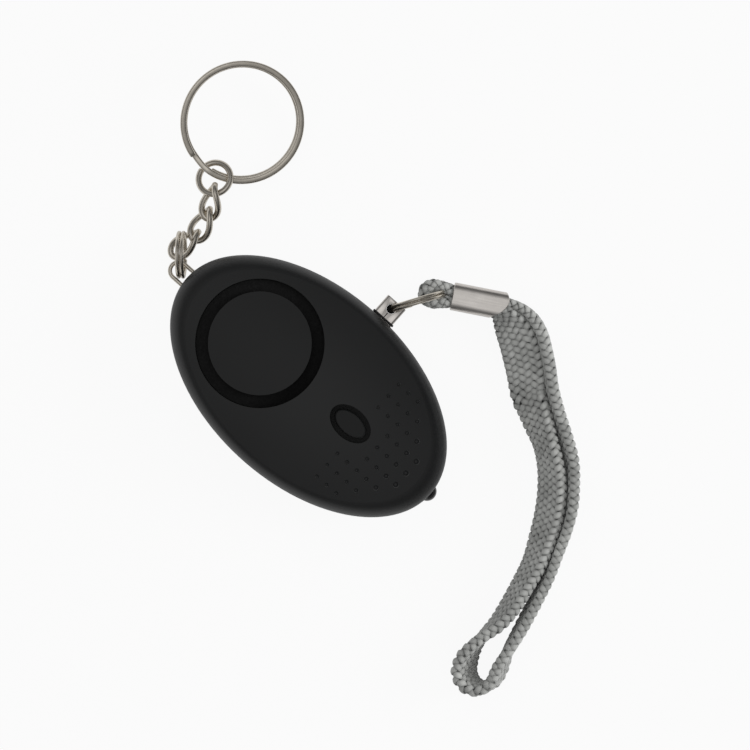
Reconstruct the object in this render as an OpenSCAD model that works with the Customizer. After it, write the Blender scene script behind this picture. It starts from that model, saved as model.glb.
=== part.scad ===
// Personal safety alarm: an oval siren with a light, a chain with a key ring,
// and a wrist strap on a pull pin. It lies on its flat back.
// Millimetres. Origin at the middle of the back, +X to the light, +Y to the pin, +Z to the front.

/* [Casing] */
// Length of the oval casing
body_l = 65; // [58.5:0.5:71.5]
// Width of the oval casing
body_w = 39.6; // [38.6:0.2:44]
// Thickness of the casing, from back to crown
body_h = 16; // [14.4:0.1:19]
// Height of the parting plane above the back
parting_z = 7; // [6.8:0.1:7.2]
// Wall of both shells
wall = 1.8; // [1.4:0.1:2.1]
// Thickness of the back
back_wall = 1.4; // [1.2:0.1:2]
// Radius of the front dome
dome_r = 179; // [150:1:240]
// Corner radius of the front rim
front_edge_r = 4.5; // [3.6:0.1:5.2]
// Corner radius of the back rim
back_edge_r = 5; // [4:0.1:5.6]
// Depth of the reveal round the parting line
reveal = 0.35; // [0.2:0.05:0.5]
// Height of the reveal
reveal_h = 0.45; // [0.3:0.05:0.7]
// Height of the rear shell's lip above the parting plane
lip_h = 1.2; // [0.8:0.1:1.6]
// Thickness of the lip
lip_t = 0.9; // [0.7:0.1:1.1]
// Gap between pieces that are assembled by hand
fit_gap = 0.1; // [0.06:0.02:0.14]

/* [Siren] */
// Middle of the siren, from the casing's chain end
siren_x = 19.7; // [19.3:0.1:20.1]
// Radius of the siren opening
siren_r = 12.85; // [12.4:0.05:13.2]
// Wall of the siren well
well_wall = 1.4; // [1:0.1:1.6]
// Radius of the cap's round head
cap_r = 10.3; // [9.8:0.1:10.8]
// Depth of the head's top below the dome
cap_drop = 0.15; // [0:0.05:0.4]
// Depth of the head's underside below the crown
head_depth = 2.2; // [2:0.1:2.4]
// Height of the sound gap under the head
sound_gap = 0.8; // [0.6:0.1:1]
// Thickness of the cap's flange
flange_t = 0.8; // [0.6:0.1:1]
// Inner radius of the cap's flange
flange_bore = 9; // [8:0.1:9.4]
// Number of ribs under the head
cap_ribs = 6; // [4:1:8]
// Thickness of each rib
rib_t = 1.4; // [1:0.1:2]
// Thickness of the ledge that carries cap and sounder
ledge_t = 0.8; // [0.7:0.1:1]
// Radius of the sounder's brass plate
plate_r = 12; // [11.6:0.05:12.5]
// Gap between the sounder and the bore of its seat
plate_gap = 0.35; // [0.25:0.05:0.6]
// Thickness of the brass plate
plate_t = 0.3; // [0.2:0.05:0.4]
// Radius of the ceramic disc
ceramic_r = 9.5; // [8:0.1:10]
// Thickness of the ceramic disc
ceramic_t = 0.25; // [0.2:0.05:0.4]
// Inner radius of the gasket and of the ledge
ledge_bore = 10.6; // [10:0.1:11.2]
// Thickness of the gasket
gasket_t = 0.4; // [0.3:0.05:0.5]
// Diameter of a sounder lead
lead_d = 0.6; // [0.5:0.05:0.8]

/* [Light] */
// Middle of the light button, towards the light
button_x = 11.2; // [10.8:0.1:11.6]
// Length of the button opening
opening_l = 9.3; // [8.8:0.1:9.6]
// Width of the button opening
opening_w = 6.3; // [5.9:0.1:6.6]
// Length of the button
button_l = 7.4; // [7:0.1:8]
// Width of the button
button_w = 4.2; // [3.9:0.1:4.6]
// Edge radius of the button
button_edge = 0.5; // [0.3:0.05:0.7]
// Overlap of the button's flange under the shell
button_lip = 0.75; // [0.5:0.05:0.9]
// Thickness of the button's flange
button_flange_t = 0.7; // [0.5:0.1:0.8]
// Gap between the flange and the shell
button_gap = 0.25; // [0.2:0.05:0.35]
// Travel of the button
button_travel = 0.4; // [0.3:0.05:0.45]
// Side of the push switch
switch_side = 6; // [5:0.5:6.2]
// Height of the push switch
switch_h = 1.7; // [1.5:0.1:2.6]
// Diameter of the switch plunger
plunger_d = 3.3; // [2.5:0.1:3.5]
// Diameter of the light
led_d = 3.9; // [3.5:0.1:4.2]
// Length of the light, from base to tip
led_l = 6.5; // [6:0.1:6.8]
// How far the light's tip stands out
led_out = 1.1; // [0.8:0.1:1.4]

/* [Grip dots] */
// First column of dots
dots_x = 13.2; // [13:0.1:13.4]
// Pitch of the columns
dots_pitch_x = 2.55; // [2.4:0.05:2.6]
// Pitch of the rows
dots_pitch_y = 3.05; // [2.9:0.05:3.1]
// Diameter of the dots nearest the button
dots_d_min = 0.8; // [0.6:0.05:0.9]
// Diameter of the dots at the tip
dots_d_max = 1.2; // [1:0.05:1.4]
// Height of a dot above the dome
dots_h = 0.25; // [0.2:0.05:0.3]

/* [Board and cells] */
// Thickness of the circuit board
board_t = 0.8; // [0.6:0.1:1.2]
// Room between the casing's chain end and the board
board_back = 10.5; // [10:0.5:12.5]
// Room between the board and the casing's light end
board_front = 6.5; // [6.1:0.1:7.5]
// Diameter of a button cell
cell_d = 11.6; // [11:0.1:11.6]
// Height of a button cell
cell_h = 5.4; // [5.2:0.1:5.4]
// Pitch of the row of cells
cell_pitch = 12.2; // [12.1:0.1:12.4]
// Middle cell, towards the chain
cell_x = 1.6; // [1.4:0.1:1.8]
// Row of cells, away from the pin
cell_y = 5; // [4.8:0.1:5.2]
// Wall of the cell tray
tray_wall = 0.8; // [0.6:0.1:0.9]
// Height of the cell tray
tray_h = 4.4; // [3.6:0.1:4.6]
// Thickness of every sprung contact strip
strip_t = 0.3; // [0.2:0.05:0.35]
// Width of the contact strips
strip_w = 4; // [3:0.1:4.4]
// Height of the feet under the board
foot_h = 0.4; // [0.3:0.05:0.5]
// Diameter of the boost coil
coil_d = 8; // [6:0.2:8.4]
// Height of the boost coil
coil_h = 5.2; // [4:0.1:5.6]
// Diameter of the capacitor
cap_d = 4; // [3:0.1:5]
// Height of the capacitor
cap_h = 5; // [2:0.1:5.4]
// Length of the driver chip
chip_l = 5; // [4:0.1:6]
// Width of the driver chip
chip_w = 4; // [3:0.1:4.4]
// Height of the driver chip
chip_h = 1.6; // [1:0.1:2]

/* [Screws] */
// Shank diameter of the casing screws
screw_d = 2; // [1.6:0.1:2.2]
// Head diameter of the casing screws
screw_head_d = 3.6; // [3.2:0.1:3.8]
// Head height of every screw
screw_head_h = 1.4; // [1:0.1:1.5]
// Depth of the heads below the back
screw_sink = 0.4; // [0.2:0.05:0.6]
// Height where front and rear screw bosses meet
boss_z = 5; // [4.6:0.1:5.4]
// Radius of the front screw bosses
boss_r = 2; // [1.8:0.1:2.2]
// Wall of the rear screw bosses round the heads
boss_wall = 0.9; // [0.8:0.05:1]
// Shank diameter of the board screws
board_screw_d = 1.8; // [1.5:0.1:2]
// Head diameter of the board screws
board_head_d = 3.4; // [3:0.1:3.6]
// Radius of the posts that hold the board
post_r = 1.8; // [1.6:0.1:2]

/* [Pull pin] */
// Middle of the pin along the casing
pin_x = 2.1; // [1.6:0.1:2.6]
// Width of the pin's sheet-metal sleeve
pin_w = 4.7; // [4.3:0.1:5]
// Thickness of the sleeve
pin_t = 2.4; // [2:0.1:2.6]
// How far the sleeve stands out of the casing
pin_out = 4.5; // [4.3:0.1:5]
// How far the sleeve goes in
pin_in = 1.5; // [1:0.1:2]
// Diameter of the hole for the ring
pin_hole_d = 2.3; // [2.2:0.05:2.5]
// Middle of the hole, out from the casing
pin_hole_out = 2.75; // [2.6:0.05:2.9]
// Corner radius of the sleeve
pin_edge = 0.5; // [0.3:0.05:0.7]
// Width of the fold line along the sleeve
seam_w = 0.16; // [0.1:0.02:0.2]
// Depth of the fold line
seam_depth = 0.2; // [0.1:0.02:0.3]
// Width of the insulating blade
blade_w = 3.4; // [3:0.1:3.6]
// Thickness of the blade
blade_t = 0.8; // [0.6:0.05:0.9]
// Length of the blade inside the casing
blade_l = 8.8; // [8:0.1:9.5]
// Clear gap round the sleeve in its slot
pin_gap = 0.25; // [0.2:0.05:0.35]
// Thickness of the pin contacts
leaf_t = 0.25; // [0.2:0.05:0.25]
// Width of the pin contacts
leaf_w = 2.4; // [2:0.1:2.8]
// Length of the pin contacts
leaf_l = 6.5; // [5.5:0.1:7]
// Clear gap between blade and contacts
leaf_gap = 0.1; // [0.05:0.01:0.1]

/* [Chain] */
// Wire of the bail
bail_wire = 0.85; // [0.8:0.05:0.9]
// Spread of the bail's legs
bail_w = 3.5; // [3.4:0.05:3.7]
// How far the bail stands out
bail_out = 4; // [3.8:0.1:4.4]
// How deep the bail is clamped
bail_in = 4; // [3.8:0.1:4.4]
// Mean diameter of the split ring in the bail
bail_ring_d = 8.8; // [8.4:0.1:9.2]
// Wire of that split ring
bail_ring_wire = 0.8; // [0.7:0.02:0.82]
// Outer length of a chain link
link_l = 8.3; // [8:0.1:9]
// Outer width of a chain link
link_w = 5.4; // [5.2:0.1:5.8]
// Wire of the chain links
link_wire = 1.25; // [1.1:0.01:1.28]
// Twist of a link from end to end
link_twist = 90; // [85:1:95]
// Mean diameter of the jump ring
jump_d = 6.6; // [6.5:0.1:7]
// Wire of the jump ring
jump_wire = 1.25; // [1.1:0.01:1.28]
// Cut of the jump ring, in degrees
jump_cut = 4; // [2:0.5:8]
// Outer diameter of the key ring
key_d = 25; // [24:0.5:30]
// Radial width of the key ring's wire
key_w = 1.53; // [1.3:0.01:1.56]
// Height of one turn of the key ring
key_t = 0.95; // [0.8:0.01:0.97]
// Gap between the turns of a split ring
turn_gap = 0.05; // [0.04:0.01:0.06]

/* [Strap] */
// Mean diameter of the split ring in the pin
pin_ring_d = 11; // [10.8:0.1:11.4]
// Wire of that split ring
pin_ring_wire = 0.7; // [0.6:0.02:0.72]
// Outer width of the crimp ferrule
ferrule_w = 5.6; // [5.5:0.1:6.2]
// Outer height of the ferrule
ferrule_h = 5.6; // [5.5:0.1:6.4]
// Length of the ferrule's long side
ferrule_l = 10.7; // [10:0.1:11.5]
// Sheet thickness of the ferrule
ferrule_t = 0.5; // [0.4:0.02:0.54]
// Corner radius of the ferrule
ferrule_edge = 1.5; // [1:0.1:1.8]
// Slant of the ferrule's strap end, in degrees
ferrule_slant = 24; // [0:1:30]

/* [Hidden] */
$fn = 64;
eps = 0.01;
over = 2;

// Colours
black = [0.145, 0.145, 0.153];
jet = [0.07, 0.07, 0.08];
nickel = [0.62, 0.61, 0.58];
steel = [0.7, 0.7, 0.72];
brass = [0.72, 0.58, 0.28];
ceramic = [0.85, 0.83, 0.78];
foam = [0.2, 0.2, 0.2];
green = [0.1, 0.35, 0.2];
ivory = [0.85, 0.83, 0.75];
smoke = [0.1, 0.1, 0.11];
grey = [0.55, 0.55, 0.54];

// Heights, stacked up from the back
cell_z = back_wall + strip_t;
spring_z = cell_z + cell_h;
board_z = spring_z + strip_t + foot_h;
board_top = board_z + board_t;

// Heights, stacked down from the crown
head_z = body_h - head_depth;
flange_z = head_z - sound_gap - flange_t;
ledge_z = flange_z - ledge_t;
gasket_z = ledge_z - gasket_t;
plate_z = gasket_z - plate_t;
ceramic_z = plate_z - ceramic_t;
well_z = plate_z - 0.2;
ceiling_z = flange_z;

// Bore round the sounder, and outside of the well
seat_r = plate_r + plate_gap;
well_r = max(siren_r, seat_r) + well_wall;

// Plan half sizes
half_l = body_l / 2;
half_w = body_w / 2;

// Height of the dome's outside over a point of the plan
function dome_z(x, y) = body_h - dome_r + sqrt(dome_r * dome_r - x * x - pow(y * half_l / half_w, 2));

// Drop of the dome across the small flat at its crown
crown_flat = 0.005;

// Bearings where the sectors of a turned blank meet, clear of dots and slots
seams = [25, 115, 205, 295, 385];

// Screw places: two beside the siren, two past the end of the row of cells
siren_at = siren_x - half_l;
siren_screw_r = siren_r + well_wall + 0.1;
front_screw_x = cell_pitch - cell_x + cell_d / 2 + fit_gap + tray_wall + 2.3;
front_screw_y = half_w - 11.1;
casing_screw_at = [
    for (s = [-1, 1]) [siren_at - siren_screw_r * cos(15), s * siren_screw_r * sin(15)],
    for (s = [-1, 1]) [front_screw_x, s * front_screw_y]];
board_screw_at = [[0, 6.3 - half_w], [button_x - 2.2, half_w - 7]];
screw_tip_z = boss_z + 4.5;
board_tip_z = ceiling_z + 0.8;

// Button heights
button_top = dome_z(button_x, 0) - 0.1;
flange_half_l = opening_l / 2 + button_lip;
flange_half_w = opening_w / 2 + button_lip;
button_flange_top = dome_z(button_x + flange_half_l, 0) - wall - button_gap;
button_flange_z = button_flange_top - button_flange_t;
plunger_z = board_top + switch_h - 0.8;

// Cells in a row
cell_places = [for (i = [-1:1]) [-cell_x + i * cell_pitch, -cell_y]];
pocket_r = cell_d / 2 + fit_gap;
tray_r = pocket_r + tray_wall;

// Ends of the board, and places of what hangs under it
board_x0 = board_back - half_l;
board_x1 = half_l - board_front;
coil_at = [cell_places[0][0], half_w - 10.6];
cap_at = [coil_at[0] + coil_d / 2 + cap_d / 2 + 3.4, half_w - 11.3];

// Pull pin along Y
rim_y = half_w * sqrt(1 - pow(pin_x / half_l, 2));
sleeve_y = rim_y - pin_in;
sleeve_l = pin_in + pin_out;
pin_hole_y = rim_y + pin_hole_out;
blade_seat = 1.2;

// Chain: every piece is set from the one before it, out from the bail
function step(bearing, run, rise) = [run * cos(bearing), run * sin(bearing), rise];
bail_cross = [-half_l - 1.4, -0.4];
bail_ring_low = 1;
bail_ring_z = bail_ring_low + bail_ring_d / 2;
bail_ring_run = sqrt(pow(bail_ring_d / 2, 2) - pow(parting_z - bail_ring_z, 2));
bail_ring_turn = [3, 1, -49];
bail_ring_at = [bail_cross[0], bail_cross[1], bail_ring_z] + step(bail_ring_turn[2] + 180, bail_ring_run, 0);
link_a = (link_l - link_wire) / 2;
link_b = (link_w - link_wire) / 2;
link_slack = 0.7;
link_pitch = link_l - 2 * link_wire - link_slack;
link_1_turn = [-39, -1, 84];
link_2_turn = [-36, -4, 105];
link_3_turn = [-44, -14, 119];
jump_turn = [-18, 8, 106];
key_turn = [12, -8, 109];
link_1_at = [bail_ring_at[0], bail_ring_at[1], 2.2] + step(link_1_turn[2], link_a - 1.44, 0)
    + step(link_1_turn[2] + 90, 1.23, 0);
link_2_at = link_1_at + step(90, link_pitch, 0.4);
link_3_at = link_2_at + step(109, link_pitch - 0.23, 1);
jump_at = link_3_at + step(124, link_a + jump_d / 2 - jump_wire - 0.75, -0.3);
key_mean_r = (key_d - key_w) / 2;
key_at = jump_at + step(105.3, key_mean_r + jump_d / 2 - jump_wire - 1.25, 0.8);

// Strap: pin ring on edge, then the eye, the ferrule and the wrist loop
pin_ring_turn = 58;
pin_ring_z = 6.3;
pin_ring_run = sqrt(pow(pin_ring_d / 2, 2) - pow(parting_z - pin_ring_z, 2));
pin_ring_at = [pin_x, pin_hole_y, pin_ring_z] + step(pin_ring_turn, pin_ring_run, 0);
eye_at = pin_ring_at + step(pin_ring_turn, pin_ring_d / 2 - 0.33, 0);
ferrule_turn = 30.5;
ferrule_z = 5;
ferrule_start = 2.1;

// Eye of the strap, from the ferrule round the pin ring and back, in the ferrule's own directions:
// along, across, height, lean in degrees, width, thickness
eye_route = [
    [7.3, -1.06, 5.0, 0, 4.2, 2.0],
    [4.2, -1.06, 5.0, 0, 4.2, 2.0],
    [2.2, -1.15, 5.2, 0, 4.0, 1.8],
    [0.8, -1.9, 5.5, 0, 3.8, 1.6],
    [-0.6, -2.3, 5.6, 8, 3.8, 1.7],
    [-2.0, -2.5, 5.6, 24, 4.2, 2.0],
    [-3.2, -1.9, 5.6, 34, 4.6, 2.3],
    [-3.6, -0.6, 5.6, 36, 4.6, 2.4],
    [-3.0, 0.9, 5.6, 34, 4.6, 2.3],
    [-1.8, 1.9, 5.6, 20, 4.2, 2.0],
    [-0.4, 2.1, 5.6, 6, 3.8, 1.7],
    [0.9, 1.8, 5.5, 0, 3.8, 1.6],
    [2.2, 1.15, 5.2, 0, 4.0, 1.8],
    [4.2, 1.06, 5.0, 0, 4.2, 2.0],
    [7.3, 1.06, 5.0, 0, 4.2, 2.0]];

// Wrist loop, from the ferrule down the near run and back up the far run:
// x, y, height, lean in degrees, width, thickness
loop_route = [
    [14.9, 34.5, 5.0, 0, 4.2, 2.0],
    [17.3, 35.9, 5.0, 4, 4.4, 2.0],
    [19.7, 36.5, 4.7, 25, 5.6, 2.2],
    [22.4, 36.0, 4.3, 48, 7.0, 2.3],
    [25.4, 34.7, 3.8, 57, 7.8, 2.4],
    [28.2, 32.9, 3.5, 60, 8.0, 2.4],
    [31.0, 30.8, 3.5, 58, 8.0, 2.4],
    [34.4, 28.4, 3.8, 48, 8.0, 2.4],
    [38.4, 25.8, 4.1, 36, 8.0, 2.4],
    [42.4, 23.2, 4.3, 28, 8.0, 2.4],
    [46.2, 20.4, 4.3, 28, 8.0, 2.4],
    [52.2, 13.7, 4.4, 30, 8.0, 2.4],
    [56.7, 4.8, 4.4, 26, 8.0, 2.4],
    [58.9, -4.4, 4.4, 18, 8.0, 2.4],
    [59.4, -9.0, 4.3, 10, 8.0, 2.4],
    [59.3, -13.2, 4.2, 0, 8.0, 2.4],
    [58.8, -16.8, 4.3, -12, 8.0, 2.4],
    [58.8, -20.0, 4.4, -20, 8.0, 2.4],
    [60.2, -22.9, 4.4, -20, 8.0, 2.4],
    [63.0, -24.0, 4.3, -8, 8.0, 2.4],
    [65.6, -22.8, 4.3, 8, 8.0, 2.4],
    [66.7, -19.8, 4.4, 20, 8.0, 2.4],
    [66.2, -16.0, 4.4, 22, 8.0, 2.4],
    [64.5, -8.0, 4.3, 12, 8.0, 2.4],
    [62.6, 1.9, 4.2, 2, 8.0, 2.4],
    [59.3, 11.9, 4.1, 0, 8.0, 2.4],
    [53.4, 21.2, 4.1, 0, 8.0, 2.4],
    [46.5, 27.2, 4.1, 0, 8.0, 2.4],
    [37.8, 32.7, 4.1, 0, 8.0, 2.4],
    [34.2, 35.6, 4.1, 0, 8.0, 2.4],
    [30.8, 38.3, 4.1, 0, 8.0, 2.4],
    [28.0, 39.9, 4.1, 0, 7.6, 2.4],
    [25.0, 40.7, 4.2, 0, 6.8, 2.3],
    [21.8, 40.5, 4.5, 0, 5.6, 2.2],
    [18.6, 39.1, 4.9, 0, 4.5, 2.0],
    [16.0, 37.6, 5.0, 0, 4.2, 2.0],
    [13.8, 36.3, 5.0, 0, 4.2, 2.0]];
strap_sides = 10;
strap_steps = 2;

// Sweeps: rings of points along a path, skinned into one closed solid
function unit(v) = v / norm(v);
function pick(list, i) = list[max(0, min(len(list) - 1, i))];
function curve(p, i, t) = 0.5 * (2 * p[i] + (p[i + 1] - pick(p, i - 1)) * t
    + (2 * pick(p, i - 1) - 5 * p[i] + 4 * p[i + 1] - pick(p, i + 2)) * t * t
    + (3 * p[i] - pick(p, i - 1) - 3 * p[i + 1] + pick(p, i + 2)) * t * t * t);
function smooth_route(p, n) = [
    for (i = [0:len(p) - 2], k = [0:n - 1]) curve(p, i, k / n),
    p[len(p) - 1]];
function head(v) = [v[0], v[1], v[2]];
function tangent(p, i) = unit(head(pick(p, i + 1)) - head(pick(p, i - 1)));
function bulge(v, power) = sign(v) * pow(abs(v), power);
function section(w, t, n, power) = [
    for (j = [0:n - 1]) [w / 2 * bulge(cos(360 * j / n), power), t / 2 * bulge(sin(360 * j / n), power)]];
function strap_ring(p, i) =
    let (along = tangent(p, i),
        side = unit(cross([0, 0, 1], along)),
        up = cross(along, side),
        wide = up * cos(p[i][3]) + side * sin(p[i][3]),
        thin = cross(along, wide))
    [for (s = section(p[i][4], p[i][5], strap_sides, 0.8)) head(p[i]) + wide * s[0] + thin * s[1]];

module skin(rings, closed) {
    m = len(rings);
    n = len(rings[0]);
    last = closed ? m - 1 : m - 2;
    sides = [for (i = [0:last], j = [0:n - 1])
        let (a = i * n + j,
            b = i * n + (j + 1) % n,
            c = (i + 1) % m * n + j,
            d = (i + 1) % m * n + (j + 1) % n)
        each [[a, b, c], [b, d, c]]];
    ends = closed ? [] : [[for (j = [n - 1:-1:0]) j], [for (j = [0:n - 1]) (m - 1) * n + j]];
    polyhedron(points = [for (r = rings) each r], faces = concat(sides, ends));
}

module strap(route) {
    p = smooth_route(route, strap_steps);
    skin([for (i = [0:len(p) - 1]) strap_ring(p, i)], false);
}

// Split ring of two turns about Z, with its ends and its crossing at the split
function cross_over(u) = abs(u) >= 1 ? sign(u) : sin(90 * u);
module split_ring(mean_r, wire_w, wire_t, power, sides, steps, split) {
    ramp = 12;
    rise = (wire_t + turn_gap) / 2;
    skin([for (k = [0:steps])
        let (a = ramp + (720 - 2 * ramp) * k / steps, z = rise * cross_over((a - 360) / ramp))
        [for (s = section(wire_w, wire_t, sides, power))
            [(mean_r + s[0]) * cos(a + split), (mean_r + s[0]) * sin(a + split), z + s[1]]]], false);
}

// Twisted oval link about its own middle, long side along X
module curb_link() {
    steps = 36;
    path = [for (k = [0:steps - 1])
        let (t = 360 * k / steps, turn = -link_twist / 2 * cos(t))
        [link_a * cos(t), link_b * sin(t) * cos(turn), link_b * sin(t) * sin(turn)]];
    skin([for (k = [0:steps - 1])
        let (along = unit(path[(k + 1) % steps] - path[(k + steps - 1) % steps]),
            turn = -link_twist / 2 * cos(360 * k / steps),
            up = [0, -sin(turn), cos(turn)],
            out = unit(cross(up, along)),
            face = cross(along, out))
        [for (s = section(link_wire, link_wire, 8, 1)) path[k] + out * s[0] + face * s[1]]], true);
}

// Casing blanks: a profile turned in sectors, each pressed to an oval
module oval(inset) {
    scale([1, (half_w - inset) / (half_l - inset), 1]) children();
}

module oval_turn(inset) {
    for (k = [0:len(seams) - 2])
        oval(inset)
            rotate([0, 0, seams[k]]) rotate_extrude(angle = seams[k + 1] - seams[k], $fn = 128) children();
}

// Half profile of the domed front: dome and corner are sectors that meet on one radius
module dome_profile(a, h, r, e, z0) {
    corner = [a - e, h - r + sqrt(pow(r - e, 2) - pow(a - e, 2))];
    out = (corner - [0, h - r]) / (r - e);
    translate([a - e, z0]) square([e, corner[1] - z0]);
    intersection() {
        translate(corner) circle(e);
        polygon([corner, corner + [2 * e, 0], corner + [2 * e, 2 * e], corner + 2 * e * out]);
    }
    intersection() {
        translate([0, h - r]) circle(r, $fn = 360);
        polygon([[0, z0], [a - e, z0], corner, corner + 2 * e * out,
            [a - e, h - crown_flat], [0, h - crown_flat]]);
    }
}

module front_blank(inset, z0) {
    oval_turn(inset)
        dome_profile(half_l - inset, body_h - inset, dome_r - inset, front_edge_r - inset, z0);
}

module tray_profile(a, z0, r, z1) {
    translate([0, z0]) square([a - r, z1 - z0]);
    translate([a - r, z0 + r]) square([r, z1 - z0 - r]);
    translate([a - r, z0 + r])
        intersection() {
            circle(r);
            translate([0, -2 * r]) square(2 * r);
        }
}

module rear_blank(inset, z0, z1) {
    oval_turn(inset)
        tray_profile(half_l - inset, z0, back_edge_r - inset, z1);
}

// Flat-ended oval prism, inset from the casing's outline
module oval_slab(inset, z0, z1) {
    intersection() {
        translate([0, 0, z0 - over])
            oval_turn(inset) square([half_l - inset, z1 - z0 + 2 * over]);
        translate([-body_l, -body_w, z0]) cube([2 * body_l, 2 * body_w, z1 - z0]);
    }
}

module oval_ring(outer, inner, z0, z1) {
    difference() {
        oval_slab(outer, z0, z1);
        oval_slab(inner, z0 - over, z1 + over);
    }
}

// Cuts that both shells share at the parting plane
module pin_slot() {
    translate([pin_x - pin_w / 2 - pin_gap, rim_y - wall - over, parting_z - pin_t / 2 - pin_gap])
        cube([pin_w + 2 * pin_gap, wall + 2 * over, pin_t + 2 * pin_gap]);
}

module led_hole() {
    translate([half_l - wall - over, 0, parting_z])
        rotate([0, 90, 0]) cylinder(d = led_d + 2 * fit_gap, h = wall + 2 * over);
}

module bail_shape(wire) {
    r = bail_w / 2;
    outer_x = -half_l - bail_out + r;
    inner_x = -half_l + bail_in - r;
    translate([0, 0, parting_z]) {
        for (s = [-1, 1])
            translate([outer_x, s * r, 0])
                rotate([0, 90, 0]) cylinder(d = wire, h = inner_x - outer_x);
        translate([outer_x, 0, 0])
            rotate([0, 0, 90]) rotate_extrude(angle = 180) translate([r, 0]) circle(d = wire);
        translate([inner_x, 0, 0])
            rotate([0, 0, -90]) rotate_extrude(angle = 180) translate([r, 0]) circle(d = wire);
    }
}

module shared_cuts() {
    pin_slot();
    led_hole();
    bail_shape(bail_wire + 2 * fit_gap);
}

// One raised grip dot, a low cap on the dome
module grip_dot(x, y, d) {
    r = (d * d / 4 + dots_h * dots_h) / (2 * dots_h);
    translate([x, y, dome_z(x, y) + dots_h - r]) sphere(r, $fn = 24);
}

module grip_dots() {
    first_row = [2, 2, 0, 0, 0, 0];
    last_row = [4, 4, 3, 3, 2, 1];
    for (i = [0:5], j = [first_row[i]:last_row[i]], s = [-1, 1])
        let (x = dots_x + i * dots_pitch_x,
            y = s * j * dots_pitch_y,
            d = dots_d_min + (dots_d_max - dots_d_min) * i / 5)
        if ((j > 0 || s > 0) && norm([x, y * half_l / half_w]) + d / 2 < half_l - front_edge_r)
            grip_dot(x, y, d);
}

// Hollow of the front shell, less the siren well, screw bosses and board posts
module front_hollow() {
    difference() {
        union() {
            oval_slab(wall, parting_z - over, parting_z + lip_h + 0.2);
            oval_slab(wall + 1.2, parting_z, ceiling_z);
        }
        translate([siren_at, 0, well_z]) cylinder(r = well_r, h = body_h);
        for (p = casing_screw_at)
            translate([p[0], p[1], 0]) cylinder(r = boss_r, h = body_h);
        for (p = board_screw_at)
            translate([p[0], p[1], board_top]) cylinder(r = post_r, h = body_h);
    }
}

module front_shell() {
    pocket = opening_l + 2 * button_lip + 0.6;
    color(black)
        difference() {
            union() {
                difference() {
                    union() {
                        front_blank(0, parting_z);
                        grip_dots();
                    }
                    front_hollow();
                    translate([siren_at, 0, flange_z]) cylinder(r = siren_r, h = body_h);
                    translate([siren_at, 0, ledge_z - eps]) cylinder(r = ledge_bore, h = ledge_t + 2 * eps);
                    translate([siren_at, 0, well_z]) cylinder(r = seat_r, h = ledge_z - well_z);
                    translate([button_x, 0, ceiling_z - 0.5])
                        scale([1, opening_w / opening_l, 1]) cylinder(d = opening_l, h = body_h);
                    translate([button_x, 0, ceiling_z - 0.5])
                        scale([1, (pocket - opening_l + opening_w) / pocket, 1])
                            cylinder(d = pocket, h = button_flange_top + button_gap - ceiling_z + 0.5);
                }
                for (p = casing_screw_at)
                    translate([p[0], p[1], boss_z]) cylinder(r = boss_r - 0.2, h = parting_z - boss_z + 1);
            }
            for (p = casing_screw_at)
                translate([p[0], p[1], 0]) cylinder(d = screw_d + fit_gap, h = screw_tip_z + 0.3);
            for (p = board_screw_at)
                translate([p[0], p[1], 0]) cylinder(d = board_screw_d + fit_gap, h = board_tip_z + 0.3);
            shared_cuts();
        }
}

// Hollow of the rear shell, less the screw bosses and the bail's post, narrowed under the lip
module rear_hollow() {
    difference() {
        union() {
            oval_slab(2 * wall, back_wall, parting_z - lip_h);
            oval_slab(wall, back_wall + 2, parting_z - lip_h);
            oval_slab(wall + fit_gap + lip_t + 0.1, back_wall + 2, parting_z + over);
        }
        for (p = casing_screw_at)
            translate([p[0], p[1], 0]) cylinder(r = screw_head_d / 2 + fit_gap + boss_wall, h = boss_z);
        translate([-half_l + bail_in - bail_w / 2, 0, 0])
            cylinder(r = (bail_w - bail_wire) / 2 - 0.3, h = parting_z);
    }
}

module rear_shell() {
    color(black)
        difference() {
            union() {
                difference() {
                    rear_blank(0, 0, parting_z);
                    rear_hollow();
                    oval_ring(-over, reveal, parting_z - reveal_h, parting_z + over);
                }
                oval_ring(wall + fit_gap, wall + fit_gap + lip_t, parting_z - lip_h / 2, parting_z + lip_h);
            }
            for (p = casing_screw_at) {
                translate([p[0], p[1], -over]) cylinder(d = screw_d + 2 * fit_gap, h = boss_z + 2 * over);
                translate([p[0], p[1], -over])
                    cylinder(d = screw_head_d + 2 * fit_gap, h = screw_sink + screw_head_h + over);
            }
            shared_cuts();
        }
}

module siren_cap() {
    color(black) {
        intersection() {
            translate([0, 0, -cap_drop]) front_blank(0, parting_z);
            translate([siren_at, 0, head_z]) cylinder(r = cap_r, h = body_h);
        }
        translate([siren_at, 0, flange_z])
            difference() {
                cylinder(r = siren_r - fit_gap, h = flange_t);
                translate([0, 0, -over]) cylinder(r = flange_bore, h = flange_t + 2 * over);
            }
        for (k = [0:cap_ribs - 1])
            translate([siren_at, 0, flange_z])
                rotate([0, 0, 360 * (k + 0.5) / cap_ribs])
                    translate([flange_bore, -rib_t / 2, 0])
                        cube([cap_r - flange_bore - 0.2, rib_t, head_z - flange_z + 0.3]);
    }
}

module piezo_gasket() {
    color(foam)
        translate([siren_at, 0, gasket_z])
            difference() {
                cylinder(r = plate_r, h = gasket_t);
                translate([0, 0, -over]) cylinder(r = ledge_bore, h = gasket_t + 2 * over);
            }
}

module piezo_plate() {
    color(brass) translate([siren_at, 0, plate_z]) cylinder(r = plate_r, h = plate_t);
}

module piezo_ceramic() {
    color(ceramic) translate([siren_at, 0, ceramic_z]) cylinder(r = ceramic_r, h = ceramic_t);
}

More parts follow.
